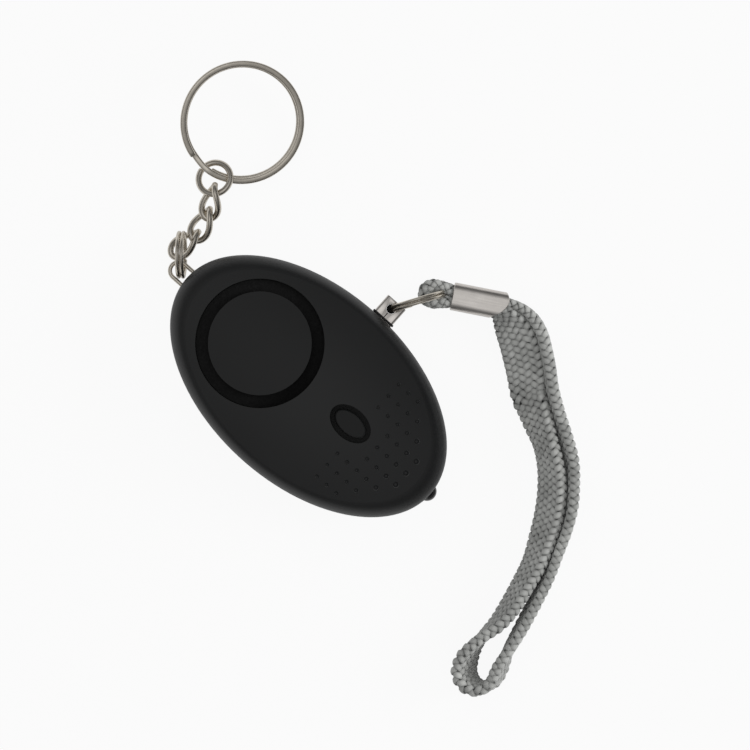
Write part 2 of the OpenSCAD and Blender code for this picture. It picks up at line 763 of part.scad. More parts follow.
module piezo_leads() {
    color("firebrick") {
        translate([siren_at, -(ceramic_r + plate_r) / 2, board_top])
            cylinder(d = lead_d, h = plate_z - board_top, $fn = 24);
        translate([siren_at + ceramic_r / 2, -ceramic_r / 2, board_top])
            cylinder(d = lead_d, h = ceramic_z - board_top, $fn = 24);
    }
}

module light_button() {
    r = button_l / 2;
    color(black)
        translate([button_x, 0, 0]) {
            scale([1, button_w / button_l, 1])
                rotate_extrude() {
                    translate([0, button_flange_z]) square([r, button_top - button_edge - button_flange_z]);
                    translate([0, button_flange_z]) square([r - button_edge, button_top - button_flange_z]);
                    translate([r - button_edge, button_top - button_edge]) circle(button_edge);
                }
            translate([0, 0, button_flange_z])
                scale([1, flange_half_w / flange_half_l, 1])
                    cylinder(r = flange_half_l, h = button_flange_t);
        }
}

module switch_plunger() {
    color(ivory)
        translate([button_x, 0, plunger_z])
            cylinder(d = plunger_d, h = button_flange_z - plunger_z);
}

module push_switch() {
    color(jet)
        difference() {
            translate([button_x - switch_side / 2, -switch_side / 2, board_top])
                cube([switch_side, switch_side, switch_h]);
            translate([button_x, 0, plunger_z - button_travel - fit_gap])
                cylinder(d = plunger_d + 2 * fit_gap, h = switch_h);
        }
}

module light_led() {
    dome = led_d / 2;
    color(smoke) {
        translate([half_l + led_out - led_l, 0, parting_z])
            rotate([0, 90, 0]) {
                cylinder(d = led_d, h = led_l - dome);
                cylinder(d = led_d + 0.8, h = 0.8);
                translate([0, 0, led_l - dome]) sphere(dome);
            }
        for (s = [-1, 1])
            translate([board_x1 - 1.5, s * 1.27 - 0.25, board_z - 0.5])
                cube([half_l + led_out - led_l + 0.2 - board_x1 + 1.5, 0.5, 0.5]);
    }
}

module circuit_board() {
    inset = wall + fit_gap + lip_t + 0.4;
    color(green)
        difference() {
            intersection() {
                translate([0, 0, board_z]) oval(inset) cylinder(r = half_l - inset, h = board_t);
                translate([board_x0, -half_w, board_z]) cube([board_x1 - board_x0, body_w, board_t]);
            }
            for (p = casing_screw_at)
                translate([p[0], p[1], board_z - over]) cylinder(r = boss_r + 0.3, h = board_t + 2 * over);
            for (p = board_screw_at)
                translate([p[0], p[1], board_z - over])
                    cylinder(d = board_screw_d + 2 * fit_gap, h = board_t + 2 * over);
        }
}

module driver_chip() {
    leg = 0.4;
    color(jet) {
        translate([front_screw_x - chip_l / 2, -chip_w / 2, board_top + 0.1]) cube([chip_l, chip_w, chip_h]);
        for (k = [-1.5:1:1.5], s = [-1, 1])
            translate([front_screw_x + k * 1.27 - leg / 2, s * (chip_w / 2 + 0.4) - 0.5, board_top])
                cube([leg, 1, 0.5]);
    }
}

module boost_coil() {
    flange = 0.8;
    color("saddlebrown")
        translate([coil_at[0], coil_at[1], board_z - coil_h]) {
            cylinder(d = coil_d, h = flange);
            cylinder(d = coil_d - 1, h = coil_h);
            translate([0, 0, coil_h - flange]) cylinder(d = coil_d, h = flange);
        }
}

module capacitor() {
    color("dimgray") translate([cap_at[0], cap_at[1], board_z - cap_h]) cylinder(d = cap_d, h = cap_h);
}

module cell_tray() {
    color(jet)
        difference() {
            translate([0, 0, back_wall])
                union() {
                    for (p = cell_places)
                        translate(p) cylinder(r = tray_r, h = tray_h);
                    translate([cell_places[0][0], -cell_y - tray_r / 2, 0])
                        cube([2 * cell_pitch, tray_r, tray_h]);
                }
            for (p = cell_places)
                translate([p[0], p[1], 0]) cylinder(r = pocket_r, h = back_wall + tray_h + over);
            translate([cell_places[0][0], -cell_y - strip_w / 2 - fit_gap, 0])
                cube([2 * cell_pitch + tray_r + over, strip_w + 2 * fit_gap, back_wall + strip_t + fit_gap]);
        }
}

// One cell, its narrow cap at the top
module cell() {
    cap = 0.5;
    cylinder(d = cell_d, h = cell_h - cap);
    cylinder(d = cell_d - 1.8, h = cell_h);
}

module button_cells() {
    color(steel)
        for (i = [0:2])
            translate([cell_places[i][0], cell_places[i][1], cell_z + (i == 1 ? cell_h : 0)])
                rotate([i == 1 ? 180 : 0, 0, 0]) cell();
}

module cell_straps() {
    pad = cell_d / 3;
    riser_x = cell_places[2][0] + tray_r + 0.4;
    color(nickel) {
        translate([cell_places[0][0] - pad, -cell_y - strip_w / 2, back_wall])
            cube([cell_pitch + 2 * pad, strip_w, strip_t]);
        translate([cell_places[2][0] - pad, -cell_y, back_wall])
            cube([riser_x + strip_t - cell_places[2][0] + pad, strip_w / 2, strip_t]);
        translate([riser_x, -cell_y, back_wall])
            cube([strip_t, strip_w / 2, board_z - back_wall]);
    }
}

module cell_springs() {
    pad = cell_d / 3;
    color(nickel) {
        translate([cell_places[1][0] - pad, -cell_y - strip_w / 2, spring_z])
            cube([cell_pitch + 2 * pad, strip_w, strip_t]);
        translate([cell_places[0][0] - pad, -cell_y - strip_w / 2, spring_z])
            cube([2 * pad, strip_w, strip_t]);
        for (p = cell_places)
            translate([p[0] - 1, -cell_y - 1, spring_z]) cube([2, 2, strip_t + foot_h]);
    }
}

// Pin contacts: sprung leaves over and under the blade, both soldered to the board
leaf_y = rim_y - blade_l - 2.2;
module pin_contact_upper() {
    z = parting_z + blade_t / 2 + leaf_gap;
    color(brass) {
        translate([pin_x - leaf_w / 2, leaf_y, z]) cube([leaf_w, leaf_l, leaf_t]);
        translate([pin_x - leaf_w / 2, leaf_y, z]) cube([leaf_w, 1, board_z - z]);
    }
}

module pin_contact_lower() {
    z = parting_z - blade_t / 2 - leaf_gap - leaf_t;
    color(brass) {
        translate([pin_x - leaf_w / 2, leaf_y - 1.5, z]) cube([leaf_w, leaf_l + 1.5, leaf_t]);
        translate([pin_x - leaf_w / 2, leaf_y - 1.5, z]) cube([leaf_w, leaf_t, board_z - z]);
    }
}

// Screw along Z with a cross recess in its head, head down
module screw(head_d, shank_d, len) {
    cross_w = 0.6;
    cross_l = head_d * 0.6;
    difference() {
        union() {
            cylinder(d = head_d, h = screw_head_h);
            cylinder(d = shank_d, h = len);
        }
        for (a = [0, 90])
            rotate([0, 0, a])
                translate([-cross_l / 2, -cross_w / 2, -over]) cube([cross_l, cross_w, over + 0.7]);
    }
}

module casing_screws() {
    color(steel)
        for (p = casing_screw_at)
            translate([p[0], p[1], screw_sink]) screw(screw_head_d, screw_d, screw_tip_z - screw_sink);
}

module board_screws() {
    color(steel)
        for (p = board_screw_at)
            translate([p[0], p[1], board_z - screw_head_h])
                screw(board_head_d, board_screw_d, board_tip_z - board_z + screw_head_h);
}

module bail() {
    color(nickel) bail_shape(bail_wire);
}

module bail_ring() {
    color(nickel)
        translate(bail_ring_at) rotate(bail_ring_turn) rotate([90, 0, 0])
            split_ring(bail_ring_d / 2, bail_ring_wire, bail_ring_wire, 1, 8, 64, 130);
}

module chain_link_1() {
    color(nickel) translate(link_1_at) rotate(link_1_turn) curb_link();
}

module chain_link_2() {
    color(nickel) translate(link_2_at) rotate(link_2_turn) curb_link();
}

module chain_link_3() {
    color(nickel) translate(link_3_at) rotate(link_3_turn) curb_link();
}

module jump_ring() {
    cut_at = 76;
    color(nickel)
        translate(jump_at) rotate(jump_turn) rotate([0, 0, cut_at + jump_cut / 2])
            rotate_extrude(angle = 360 - jump_cut) translate([jump_d / 2, 0]) circle(d = jump_wire, $fn = 32);
}

module key_ring() {
    split_bearing = 267;
    color(nickel)
        translate(key_at) rotate(key_turn)
            split_ring(key_mean_r, key_w, key_t, 0.6, 8, 96, split_bearing - key_turn[2]);
}

module pin_sleeve() {
    r = pin_edge;
    color(nickel)
        difference() {
            translate([pin_x, sleeve_y, parting_z])
                rotate([-90, 0, 0])
                    linear_extrude(sleeve_l) {
                        square([pin_w - 2 * r, pin_t], center = true);
                        square([pin_w, pin_t - 2 * r], center = true);
                        for (sx = [-1, 1], sz = [-1, 1])
                            translate([sx * (pin_w / 2 - r), sz * (pin_t / 2 - r)]) circle(r, $fn = 32);
                    }
            translate([pin_x, pin_hole_y, 0]) cylinder(d = pin_hole_d, h = body_h);
            translate([pin_x - (blade_w + fit_gap) / 2, sleeve_y - over, parting_z - (blade_t + fit_gap) / 2])
                cube([blade_w + fit_gap, blade_seat + over + fit_gap, blade_t + fit_gap]);
            translate([pin_x - seam_w / 2, sleeve_y - over, parting_z + pin_t / 2 - seam_depth])
                cube([seam_w, sleeve_l + 2 * over, seam_depth + over]);
        }
}

module pin_blade() {
    color(jet)
        translate([pin_x - blade_w / 2, rim_y - blade_l, parting_z - blade_t / 2])
            cube([blade_w, blade_l - pin_in + blade_seat, blade_t]);
}

module pin_ring() {
    color(nickel)
        translate(pin_ring_at) rotate([90, 0, pin_ring_turn])
            split_ring(pin_ring_d / 2, pin_ring_wire, pin_ring_wire, 1, 8, 72, 110);
}

// Folded sleeve: a rounded tube with its seam underneath, cut on a slant at the strap end
module strap_ferrule() {
    outer_r = ferrule_edge;
    inner_r = ferrule_edge - ferrule_t;
    color(nickel)
        translate([eye_at[0], eye_at[1], ferrule_z]) rotate([0, 0, ferrule_turn])
            difference() {
                translate([ferrule_start, 0, 0])
                    rotate([90, 0, 90])
                        linear_extrude(ferrule_l)
                            difference() {
                                rounded(ferrule_w, ferrule_h, outer_r);
                                rounded(ferrule_w - 2 * ferrule_t, ferrule_h - 2 * ferrule_t, inner_r);
                                translate([-0.15, -ferrule_h]) square([0.3, ferrule_h]);
                            }
                translate([ferrule_start + ferrule_l, ferrule_w / 2, -ferrule_h])
                    rotate([0, 0, -90 - ferrule_slant])
                        cube([3 * ferrule_w, 3 * ferrule_w, 2 * ferrule_h]);
            }
}

module rounded(w, h, r) {
    square([w - 2 * r, h], center = true);
    square([w, h - 2 * r], center = true);
    for (sx = [-1, 1], sy = [-1, 1])
        translate([sx * (w / 2 - r), sy * (h / 2 - r)]) circle(r, $fn = 32);
}

module strap_eye() {
    color(grey)
        translate([eye_at[0], eye_at[1], 0]) rotate([0, 0, ferrule_turn]) strap(eye_route);
}

module strap_loop() {
    color(grey) strap(loop_route);
}

front_shell();
rear_shell();
siren_cap();
piezo_plate();
piezo_ceramic();
piezo_gasket();
piezo_leads();
light_button();
switch_plunger();
push_switch();
light_led();
circuit_board();
driver_chip();
boost_coil();
capacitor();
cell_tray();
button_cells();
cell_straps();
cell_springs();
pin_contact_upper();
pin_contact_lower();
casing_screws();
board_screws();
bail();
bail_ring();
chain_link_1();
chain_link_2();
chain_link_3();
jump_ring();
key_ring();
pin_sleeve();
pin_blade();
pin_ring();
strap_ferrule();
strap_eye();
strap_loop();
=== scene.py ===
import math

import bpy
import numpy as np
from mathutils import Matrix, Vector


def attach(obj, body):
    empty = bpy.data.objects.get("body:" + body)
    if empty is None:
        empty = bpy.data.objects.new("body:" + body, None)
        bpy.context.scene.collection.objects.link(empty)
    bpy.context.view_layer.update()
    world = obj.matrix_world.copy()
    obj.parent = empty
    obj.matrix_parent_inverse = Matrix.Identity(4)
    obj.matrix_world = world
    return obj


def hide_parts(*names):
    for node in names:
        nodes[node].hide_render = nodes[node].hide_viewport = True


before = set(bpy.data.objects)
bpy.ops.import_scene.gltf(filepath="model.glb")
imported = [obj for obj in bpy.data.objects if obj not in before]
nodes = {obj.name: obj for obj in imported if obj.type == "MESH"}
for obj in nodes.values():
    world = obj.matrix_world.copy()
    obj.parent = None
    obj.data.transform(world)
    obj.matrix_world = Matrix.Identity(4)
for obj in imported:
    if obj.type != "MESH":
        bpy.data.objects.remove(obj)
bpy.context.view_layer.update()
scene = bpy.context.scene
scene.view_settings.view_transform = "Standard"
mm = 0.001  # sizes below are written in millimetres
print("frame loaded:", len(nodes), "nodes")

# camera: straight down on the alarm as it lies on its back
view = {
    "middle": (8.443, 10.477, 7.0),  # point under the centre of the frame
    "right": (0.74751, 0.66426, 0.0),  # direction of the frame's right hand
    "distance": 900.0,
    "across": 150.0,  # width of the frame at the middle's height
    "sensor": 36.0,
    "clip": (10.0, 20000.0),  # nearest and farthest that is drawn
}


def placeCamera(view):
    data = bpy.data.cameras.new("studioCamera")
    camera = bpy.data.objects.new("studioCamera", data)
    scene.collection.objects.link(camera)
    right = Vector(view["right"]).normalized()
    back = Vector((0, 0, 1))
    up = back.cross(right)
    turn = Matrix((right, up, back)).transposed().to_4x4()
    spot = (Vector(view["middle"]) + back * view["distance"]) * mm
    camera.matrix_world = Matrix.Translation(spot) @ turn
    data.sensor_width = view["sensor"]
    data.lens = view["sensor"] * view["distance"] / view["across"]
    data.clip_start, data.clip_end = (reach * mm for reach in view["clip"])
    scene.camera = camera


placeCamera(view)
print("camera placed")


# colours are written as sRGB hex and turned to linear here
def hexColour(text):
    parts = [int(text[i:i + 2], 16) / 255 for i in (1, 3, 5)]
    return (*[p / 12.92 if p <= 0.04045 else ((p + 0.055) / 1.055) ** 2.4 for p in parts], 1.0)


def grey(level):
    return (level, level, level, 1.0)


# one node with its settings and its links; a ramp's stops come as (place, colour)
def addNode(tree, kind, settings=None, links=None, ramp=None):
    node = tree.nodes.new(kind)
    for key, value in (settings or {}).items():
        if isinstance(key, int) or key in node.inputs:
            node.inputs[key].default_value = value
        else:
            setattr(node, key, value)
    for key, source in (links or {}).items():
        tree.links.new(source, node.inputs[key])
    if ramp:
        stops = node.color_ramp.elements
        while len(stops) < len(ramp):
            stops.new(0.5)
        for stop, (place, colour) in zip(stops, ramp):
            stop.position = place
            stop.color = colour
    return node


# a material with its shader's constants, and the place on the part that its patterns follow
def startMaterial(name, settings):
    material = bpy.data.materials.new(name)
    material.use_nodes = True
    tree = material.node_tree
    surface = tree.nodes["Principled BSDF"]
    for key, value in settings.items():
        surface.inputs[key].default_value = value
    place = addNode(tree, "ShaderNodeTexCoord").outputs["Object"]
    return material, tree, surface, place


# joins a material's colour, its finish where that varies, and its relief to the shader
def dress(tree, surface, colour, finish, height, bump, depthMm):
    tree.links.new(colour, surface.inputs["Base Color"])
    if finish is not None:
        tree.links.new(finish, surface.inputs["Roughness"])
    relief = addNode(tree, "ShaderNodeBump", {"Strength": bump, "Distance": depthMm * mm}, {"Height": height})
    tree.links.new(relief.outputs[0], surface.inputs["Normal"])


# grip dots are rubbed smooth: on the top face, but for the button's and the siren's surrounds
dotRub = {
    "steep": 0.965,  # a dot's side faces up less than this
    "wall": 0.5,  # and the casing's wall less than this
    "smoother": 0.26,
    "bounds": [  # middle, half sizes, inside or outside
        ((0, 0, 0), (27.5, 16.7), "LESS_THAN"),
        ((11.2, 0, 0), (5.9, 4.4), "GREATER_THAN"),
        ((-12.8, 0, 0), (18, 18), "GREATER_THAN"),
    ],
}


def rubbedDots(tree, place, rubbed):
    facing = addNode(tree, "ShaderNodeTexCoord").outputs["Normal"]
    upright = addNode(tree, "ShaderNodeSeparateXYZ", None, {"Vector": facing}).outputs["Z"]
    marks = [addNode(tree, "ShaderNodeMath", {"operation": test, 1: limit}, {0: upright})
             for test, limit in (("LESS_THAN", rubbed["steep"]), ("GREATER_THAN", rubbed["wall"]))]
    for middle, half, test in rubbed["bounds"]:
        moved = addNode(tree, "ShaderNodeVectorMath", {"operation": "SUBTRACT", 1: [c * mm for c in middle]},
                        {0: place})
        shares = (1 / (half[0] * mm), 1 / (half[1] * mm), 0)
        scaled = addNode(tree, "ShaderNodeVectorMath", {"operation": "MULTIPLY", 1: shares},
                         {0: moved.outputs[0]})
        reach = addNode(tree, "ShaderNodeVectorMath", {"operation": "LENGTH"}, {0: scaled.outputs[0]})
        marks.append(addNode(tree, "ShaderNodeMath", {"operation": test, 1: 1.0},
                             {0: reach.outputs["Value"]}))
    mask = marks[0].outputs[0]
    for mark in marks[1:]:
        mask = addNode(tree, "ShaderNodeMath", {"operation": "MULTIPLY"},
                       {0: mask, 1: mark.outputs[0]}).outputs[0]
    return mask


# moulded ABS, spark-eroded satin: near black, a soft broad shine, fine grain, a little dust
absLook = {
    "pale": "#0f1011",
    "grainMm": 0.35,  # real grain is 0.05 mm, drawn coarser to show
    "cloudMm": 14.0,
    "finish": (-0.04, 0.05),  # roughness below and above the mean
    "bump": 0.12, "depthMm": 0.02,
    "dustMm": 4.5,  # spacing of the places that may hold a speck
    "speck": 0.022,  # a speck's reach as a share of that spacing
    "bare": 0.86,  # share of those places left bare
    "dust": "#5c5d60",
}


def mouldedAbs(name, base, rough, dust=True, rubbed=None):
    look = absLook
    material, tree, surface, place = startMaterial(name, {"IOR": 1.53, "Roughness": rough})
    grain = addNode(tree, "ShaderNodeTexNoise", {"Scale": 1 / (look["grainMm"] * mm), "Detail": 3.0},
                    {"Vector": place})
    cloud = addNode(tree, "ShaderNodeTexNoise", {"Scale": 1 / (look["cloudMm"] * mm), "Detail": 4.0},
                    {"Vector": place})
    colour = addNode(tree, "ShaderNodeValToRGB", None, {"Fac": cloud.outputs["Fac"]},
                     [(0.3, hexColour(base)), (0.75, hexColour(look["pale"]))]).outputs["Color"]
    if dust:
        speck = addNode(tree, "ShaderNodeTexVoronoi", {"Scale": 1 / (look["dustMm"] * mm)}, {"Vector": place})
        small = addNode(tree, "ShaderNodeMath", {"operation": "LESS_THAN", 1: look["speck"]},
                        {0: speck.outputs["Distance"]})
        tint = addNode(tree, "ShaderNodeSeparateColor", None, {"Color": speck.outputs["Color"]})
        few = addNode(tree, "ShaderNodeMath", {"operation": "GREATER_THAN", 1: look["bare"]},
                      {0: tint.outputs[0]})
        both = addNode(tree, "ShaderNodeMath", {"operation": "MULTIPLY"},
                       {0: small.outputs[0], 1: few.outputs[0]})
        colour = addNode(tree, "ShaderNodeMix", {"data_type": "RGBA", 7: hexColour(look["dust"])},
                         {0: both.outputs[0], 6: colour}).outputs[2]
    low, high = look["finish"]
    finish = addNode(tree, "ShaderNodeMapRange", {"To Min": rough + low, "To Max": rough + high},
                     {"Value": cloud.outputs["Fac"]}).outputs[0]
    if rubbed:
        finish = addNode(tree, "ShaderNodeMath", {"operation": "MULTIPLY_ADD", 1: -rubbed["smoother"]},
                         {0: rubbedDots(tree, place, rubbed), 2: finish}).outputs[0]
    dress(tree, surface, colour, finish, grain.outputs["Fac"], look["bump"], look["depthMm"])
    return material


# nickel plate. Wire is barrel finished: a warm grey mirror, slightly cloudy, with fine rub marks.
# Sheet is rolled, then folded: satin, with fine lines along the sleeve
plateLooks = {
    "wire": {"tones": ("#cfc8bc", "#e2dbcf"), "cloudMm": 1.6, "cloudDetail": 4.0,
             "markMm": 0.9, "markDetail": 2.0, "finish": (-0.04, 0.06), "bump": 0.05, "depthMm": 0.002},
    "sheet": {"tones": ("#d2cdc8", "#e2ddd8"), "cloudMm": 2.5, "cloudDetail": 3.0,
              "markMm": 0.22,  # rolling lines are 0.02 mm, drawn coarser to show
              "markDetail": 3.0, "finish": (-0.06, 0.08), "bump": 0.2, "depthMm": 0.012,
              "drawn": 0.04},  # change along a line as a share of that across it
}


def nickelPlate(name, look, rough, along=0.0):
    material, tree, surface, place = startMaterial(name, {"Metallic": 1.0, "Roughness": rough})
    marked = place
    if "drawn" in look:
        laid = addNode(tree, "ShaderNodeMapping", {"vector_type": "TEXTURE", "Rotation": (0, 0, along)},
                       {"Vector": place})
        marked = addNode(tree, "ShaderNodeMapping", {"Scale": (look["drawn"], 1, 1)},
                         {"Vector": laid.outputs[0]}).outputs[0]
    marks = addNode(tree, "ShaderNodeTexNoise",
                    {"Scale": 1 / (look["markMm"] * mm), "Detail": look["markDetail"]}, {"Vector": marked})
    cloud = addNode(tree, "ShaderNodeTexNoise",
                    {"Scale": 1 / (look["cloudMm"] * mm), "Detail": look["cloudDetail"]}, {"Vector": place})
    tone = addNode(tree, "ShaderNodeValToRGB", None, {"Fac": cloud.outputs["Fac"]},
                   list(zip((0.25, 0.8), map(hexColour, look["tones"]))))
    low, high = look["finish"]
    shine = addNode(tree, "ShaderNodeMapRange", {"To Min": rough + low, "To Max": rough + high},
                    {"Value": marks.outputs["Fac"]})
    dress(tree, surface, tone.outputs["Color"], shine.outputs[0], marks.outputs["Fac"],
          look["bump"], look["depthMm"])
    return material


# polyester multifilament yarn, spun-dyed grey: matt, with a pale sheen and fine filaments
yarnLook = {
    "shader": {"Roughness": 0.72, "IOR": 1.5, "Sheen Weight": 0.35, "Sheen Roughness": 0.45},
    "skew": 0.5, "filaments": (6.0, 1.6, 1),  # filaments are 0.02 mm, drawn as bundles of 0.15 mm
    "wave": {"Scale": 1.0, "Distortion": 1.5, "Detail": 2.0, "bands_direction": "X"},
    "wornMm": 5.0, "worn": 0.45,
    "bump": 0.35, "depthMm": 0.05,
}


def polyesterYarn(name, dark, pale):
    look = yarnLook
    material, tree, surface, place = startMaterial(name, look["shader"])
    turns = addNode(tree, "ShaderNodeUVMap", {"uv_map": "yarn"}).outputs["UV"]
    laid = addNode(tree, "ShaderNodeMapping", {"Rotation": (0, 0, look["skew"]), "Scale": look["filaments"]},
                   {"Vector": turns})
    filament = addNode(tree, "ShaderNodeTexWave", look["wave"], {"Vector": laid.outputs[0]})
    # the attribute holds each yarn's own tone plus painted shade, paler on a yarn's crown and darker where it
    # dips and at its sides
    shade = addNode(tree, "ShaderNodeAttribute", {"attribute_name": "yarnToneAndPaintedShade"})
    worn = addNode(tree, "ShaderNodeTexNoise", {"Scale": 1 / (look["wornMm"] * mm), "Detail": 4.0},
                   {"Vector": place})
    mixed = addNode(tree, "ShaderNodeMath", {"operation": "MULTIPLY_ADD", 1: look["worn"]},
                    {0: worn.outputs["Fac"], 2: shade.outputs["Fac"]})
    tone = addNode(tree, "ShaderNodeValToRGB", None, {"Fac": mixed.outputs[0]},
                   [(0.1, hexColour(dark)), (0.95, hexColour(pale))])
    dress(tree, surface, tone.outputs["Color"], None, filament.outputs["Fac"], look["bump"], look["depthMm"])
    return material


# plain materials: one colour pair, cloudy at a given size, with its own finish
def clouded(name, low, high, sizeMm, settings, bump=0.1):
    material, tree, surface, place = startMaterial(name, settings)
    cloud = addNode(tree, "ShaderNodeTexNoise", {"Scale": 1 / (sizeMm * mm), "Detail": 4.0}, {"Vector": place})
    tone = addNode(tree, "ShaderNodeValToRGB", None, {"Fac": cloud.outputs["Fac"]},
                   [(0.3, hexColour(low)), (0.7, hexColour(high))])
    dress(tree, surface, tone.outputs["Color"], None, cloud.outputs["Fac"], bump, 0.03)
    return material


shellAbs = mouldedAbs("absMouldedSatinBlack", "#0a0b0c", 0.46, rubbed=dotRub)
capAbs = mouldedAbs("absMouldedSatinCap", "#08090a", 0.52, dust=False)
keyAbs = mouldedAbs("absMouldedMattKey", "#060707", 0.6, dust=False)
wireNickel = nickelPlate("nickelPlatedWire", plateLooks["wire"], 0.27)
strapYarn = polyesterYarn("polyesterBraidGrey", "#4c4d4b", "#bcbdba")
# the core's dark grey is painted shade, the shade seen between the yarns
strapCore = clouded("polyesterCorePaintedShade", "#2b2c2b", "#383938", 1.0, {"Roughness": 0.9})
print("first materials made")


# points in millimetres
def newMesh(name, points, faces):
    mesh = bpy.data.meshes.new(name)
    mesh.from_pydata((np.asarray(points) * mm).tolist(), [], faces)
    mesh.update()
    return mesh


# a mesh as a piece: its materials, body, the CAD nodes it stands for, its sharp edges
def addPiece(name, mesh, materials, body, replaced=(), sharp=35):
    piece = bpy.data.objects.new(name, mesh)
    scene.collection.objects.link(piece)
    mesh.materials.clear()
    for material in materials:
        mesh.materials.append(material)
    mesh.polygons.foreach_set("use_smooth", [True] * len(mesh.polygons))
    if sharp:
        mesh.set_sharp_from_angle(angle=math.radians(sharp))
    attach(piece, body)
    if replaced:
        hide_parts(*replaced)
    return piece


def unit(v):
    return v / np.maximum(np.linalg.norm(v, axis=-1, keepdims=True), 1e-12)


# quads between rows of points, each row one ring of a tube, and a cap on each end of an open one
def tubeFaces(rows, sides, closed, first=0):
    last = rows if closed else rows - 1
    faces = []
    for i in range(last):
        a, b = first + i * sides, first + (i + 1) % rows * sides
        faces += [(a + j, a + (j + 1) % sides, b + (j + 1) % sides, b + j) for j in range(sides)]
    if not closed:
        faces.append(tuple(first + j for j in range(sides - 1, -1, -1)))
        faces.append(tuple(first + (rows - 1) * sides + j for j in range(sides)))
    return faces


def circle(sides):
    return np.arange(sides) * 2 * math.pi / sides


# wrist strap: one flat tubular braid, from the ferrule round the loop, back in, and round the pin ring
strap = {
    # loop points: x, y, height, lean in degrees, width, thickness
    "loop": [
        (14.9, 34.5, 5.0, 0, 4.2, 2.0), (17.3, 35.9, 5.0, 10, 4.6, 2.0), (19.7, 36.5, 4.7, 42, 6.2, 2.2),
        (22.4, 36.0, 4.2, 66, 7.8, 2.3), (25.4, 34.7, 3.7, 76, 8.4, 2.4), (28.2, 32.9, 3.3, 78, 8.5, 2.4),
        (31.0, 30.8, 3.2, 73, 8.4, 2.4), (34.2, 27.9, 3.2, 57, 8.2, 2.4), (36.6, 26.7, 3.5, 51, 8.1, 2.4),
        (39.5, 25.0, 3.8, 41, 8.1, 2.4), (43.2, 22.9, 4.0, 30, 8.1, 2.4), (47.1, 20.1, 3.9, 33, 8.1, 2.4),
        (50.5, 16.6, 3.8, 38, 8.1, 2.4), (53.2, 12.7, 3.8, 39, 8.1, 2.4), (55.4, 8.2, 3.8, 34, 8.1, 2.4),
        (57.4, 3.5, 4.0, 28, 8.1, 2.4), (58.7, -1.8, 4.1, 24, 8.1, 2.4), (59.6, -6.5, 4.2, 20, 8.1, 2.4),
        (59.9, -10.4, 4.3, 12, 8.1, 2.4), (59.5, -14.0, 4.2, 0, 8.0, 2.4), (59.5, -17.1, 4.1, -14, 8.0, 2.4),
        (60.0, -19.8, 3.9, -28, 8.0, 2.4), (61.4, -22.2, 3.7, -34, 8.0, 2.4),
        (63.7, -23.2, 3.9, -26, 8.0, 2.4), (65.9, -22.4, 4.2, -8, 8.0, 2.4), (67.0, -19.9, 4.2, 10, 8.0, 2.4),
        (66.3, -16.8, 4.1, 15, 8.0, 2.4), (65.2, -13.2, 4.2, 2, 8.0, 2.4), (64.5, -10.0, 4.2, -4, 8.0, 2.3),
        (63.8, -6.9, 4.1, -7, 8.0, 2.2), (62.5, -1.8, 4.1, -9, 8.0, 2.1), (61.2, 3.2, 4.1, -8, 8.0, 2.0),
        (59.5, 7.9, 4.1, -5, 8.0, 2.2), (57.7, 12.8, 4.1, -3, 8.0, 2.2), (55.3, 16.8, 4.1, -9, 8.0, 2.2),
        (52.2, 20.4, 4.0, -14, 8.0, 2.2), (49.1, 23.5, 4.0, -16, 8.0, 2.2), (45.2, 26.1, 4.0, -16, 8.0, 2.3),
        (40.8, 28.8, 4.0, -14, 8.0, 2.4), (36.7, 31.8, 4.1, -9, 8.0, 2.5), (33.4, 34.9, 4.1, -3, 8.0, 2.6),
        (30.1, 37.5, 4.1, 0, 8.0, 2.6), (27.5, 39.1, 4.1, 0, 7.6, 2.6), (24.6, 40.0, 4.2, 0, 6.8, 2.5),
        (21.6, 40.0, 4.5, 0, 5.6, 2.1), (18.5, 38.9, 4.9, 0, 4.6, 2.0), (16.0, 37.6, 5.0, 0, 4.2, 2.0),
        (13.8, 36.3, 5.0, 0, 4.2, 2.0)],
    # eye points in the ferrule's own directions: along, across, height, lean, width, thickness
    "eye": [
        (7.3, -1.06, 5.0, 0, 4.2, 2.0), (4.2, -1.06, 5.0, 0, 4.2, 2.2), (2.2, -1.1, 5.2, 0, 4.2, 2.4),
        (1.1, -1.3, 5.5, 0, 4.2, 2.7), (-0.3, -1.75, 5.6, 8, 4.4, 2.3), (-1.5, -1.75, 5.6, 20, 4.6, 2.4),
        (-2.6, -1.3, 5.6, 30, 4.8, 2.6), (-3.0, -0.3, 5.6, 34, 4.8, 2.7), (-2.6, 0.6, 5.6, 30, 4.8, 2.6),
        (-1.5, 1.25, 5.6, 18, 4.6, 2.4), (-0.3, 1.4, 5.6, 6, 4.4, 2.3), (1.1, 1.15, 5.5, 0, 4.2, 2.7),
        (2.2, 1.05, 5.2, 0, 4.2, 2.4), (4.2, 1.06, 5.0, 0, 4.2, 2.2)],
    "eyeAt": (7.731, 31.520),
    "eyeTurn": 30.5,
    "routeSteps": 24,  # steps between two points
    "yarns": 6,  # yarns laid each way, each going over one and under one
    "rowMm": 1.52,  # length of one stitch along the strap
    "yarnFill": 0.97,  # share of its room that a yarn fills
    "yarnThick": 0.66,
    "pressed": 0.75,  # a yarn's section, 1 for an oval and less for a flatter top
    "pinch": 0.06,  # how much narrower a yarn is where it dips
    "swing": 0.27,  # how far a yarn rises and dips
    "perStitch": 9,  # points along a yarn in one stitch
    "yarnSides": 10,
    "fullRound": 18.7,  # way round the full braid
    "slimmest": 0.5, "slimming": 1.06,  # yarns thin where the braid is drawn in
    "edgeLock": 2.75,  # yarn spacings from a crossing to the strap's edge, so a chevron runs down it
    "yarnTone": (0.2, 0.4), "seed": 7,
    "paintedCrownShade": 0.6,  # painted shade: how much paler a yarn is on its crown than where it dips and at its sides
    "paintedCrownFall": 0.6,
    "coreSides": 24, "coreEvery": 6, "corePaintedShade": 0.2, "coreUnder": 0.6,
    "widthMm": 8,
}


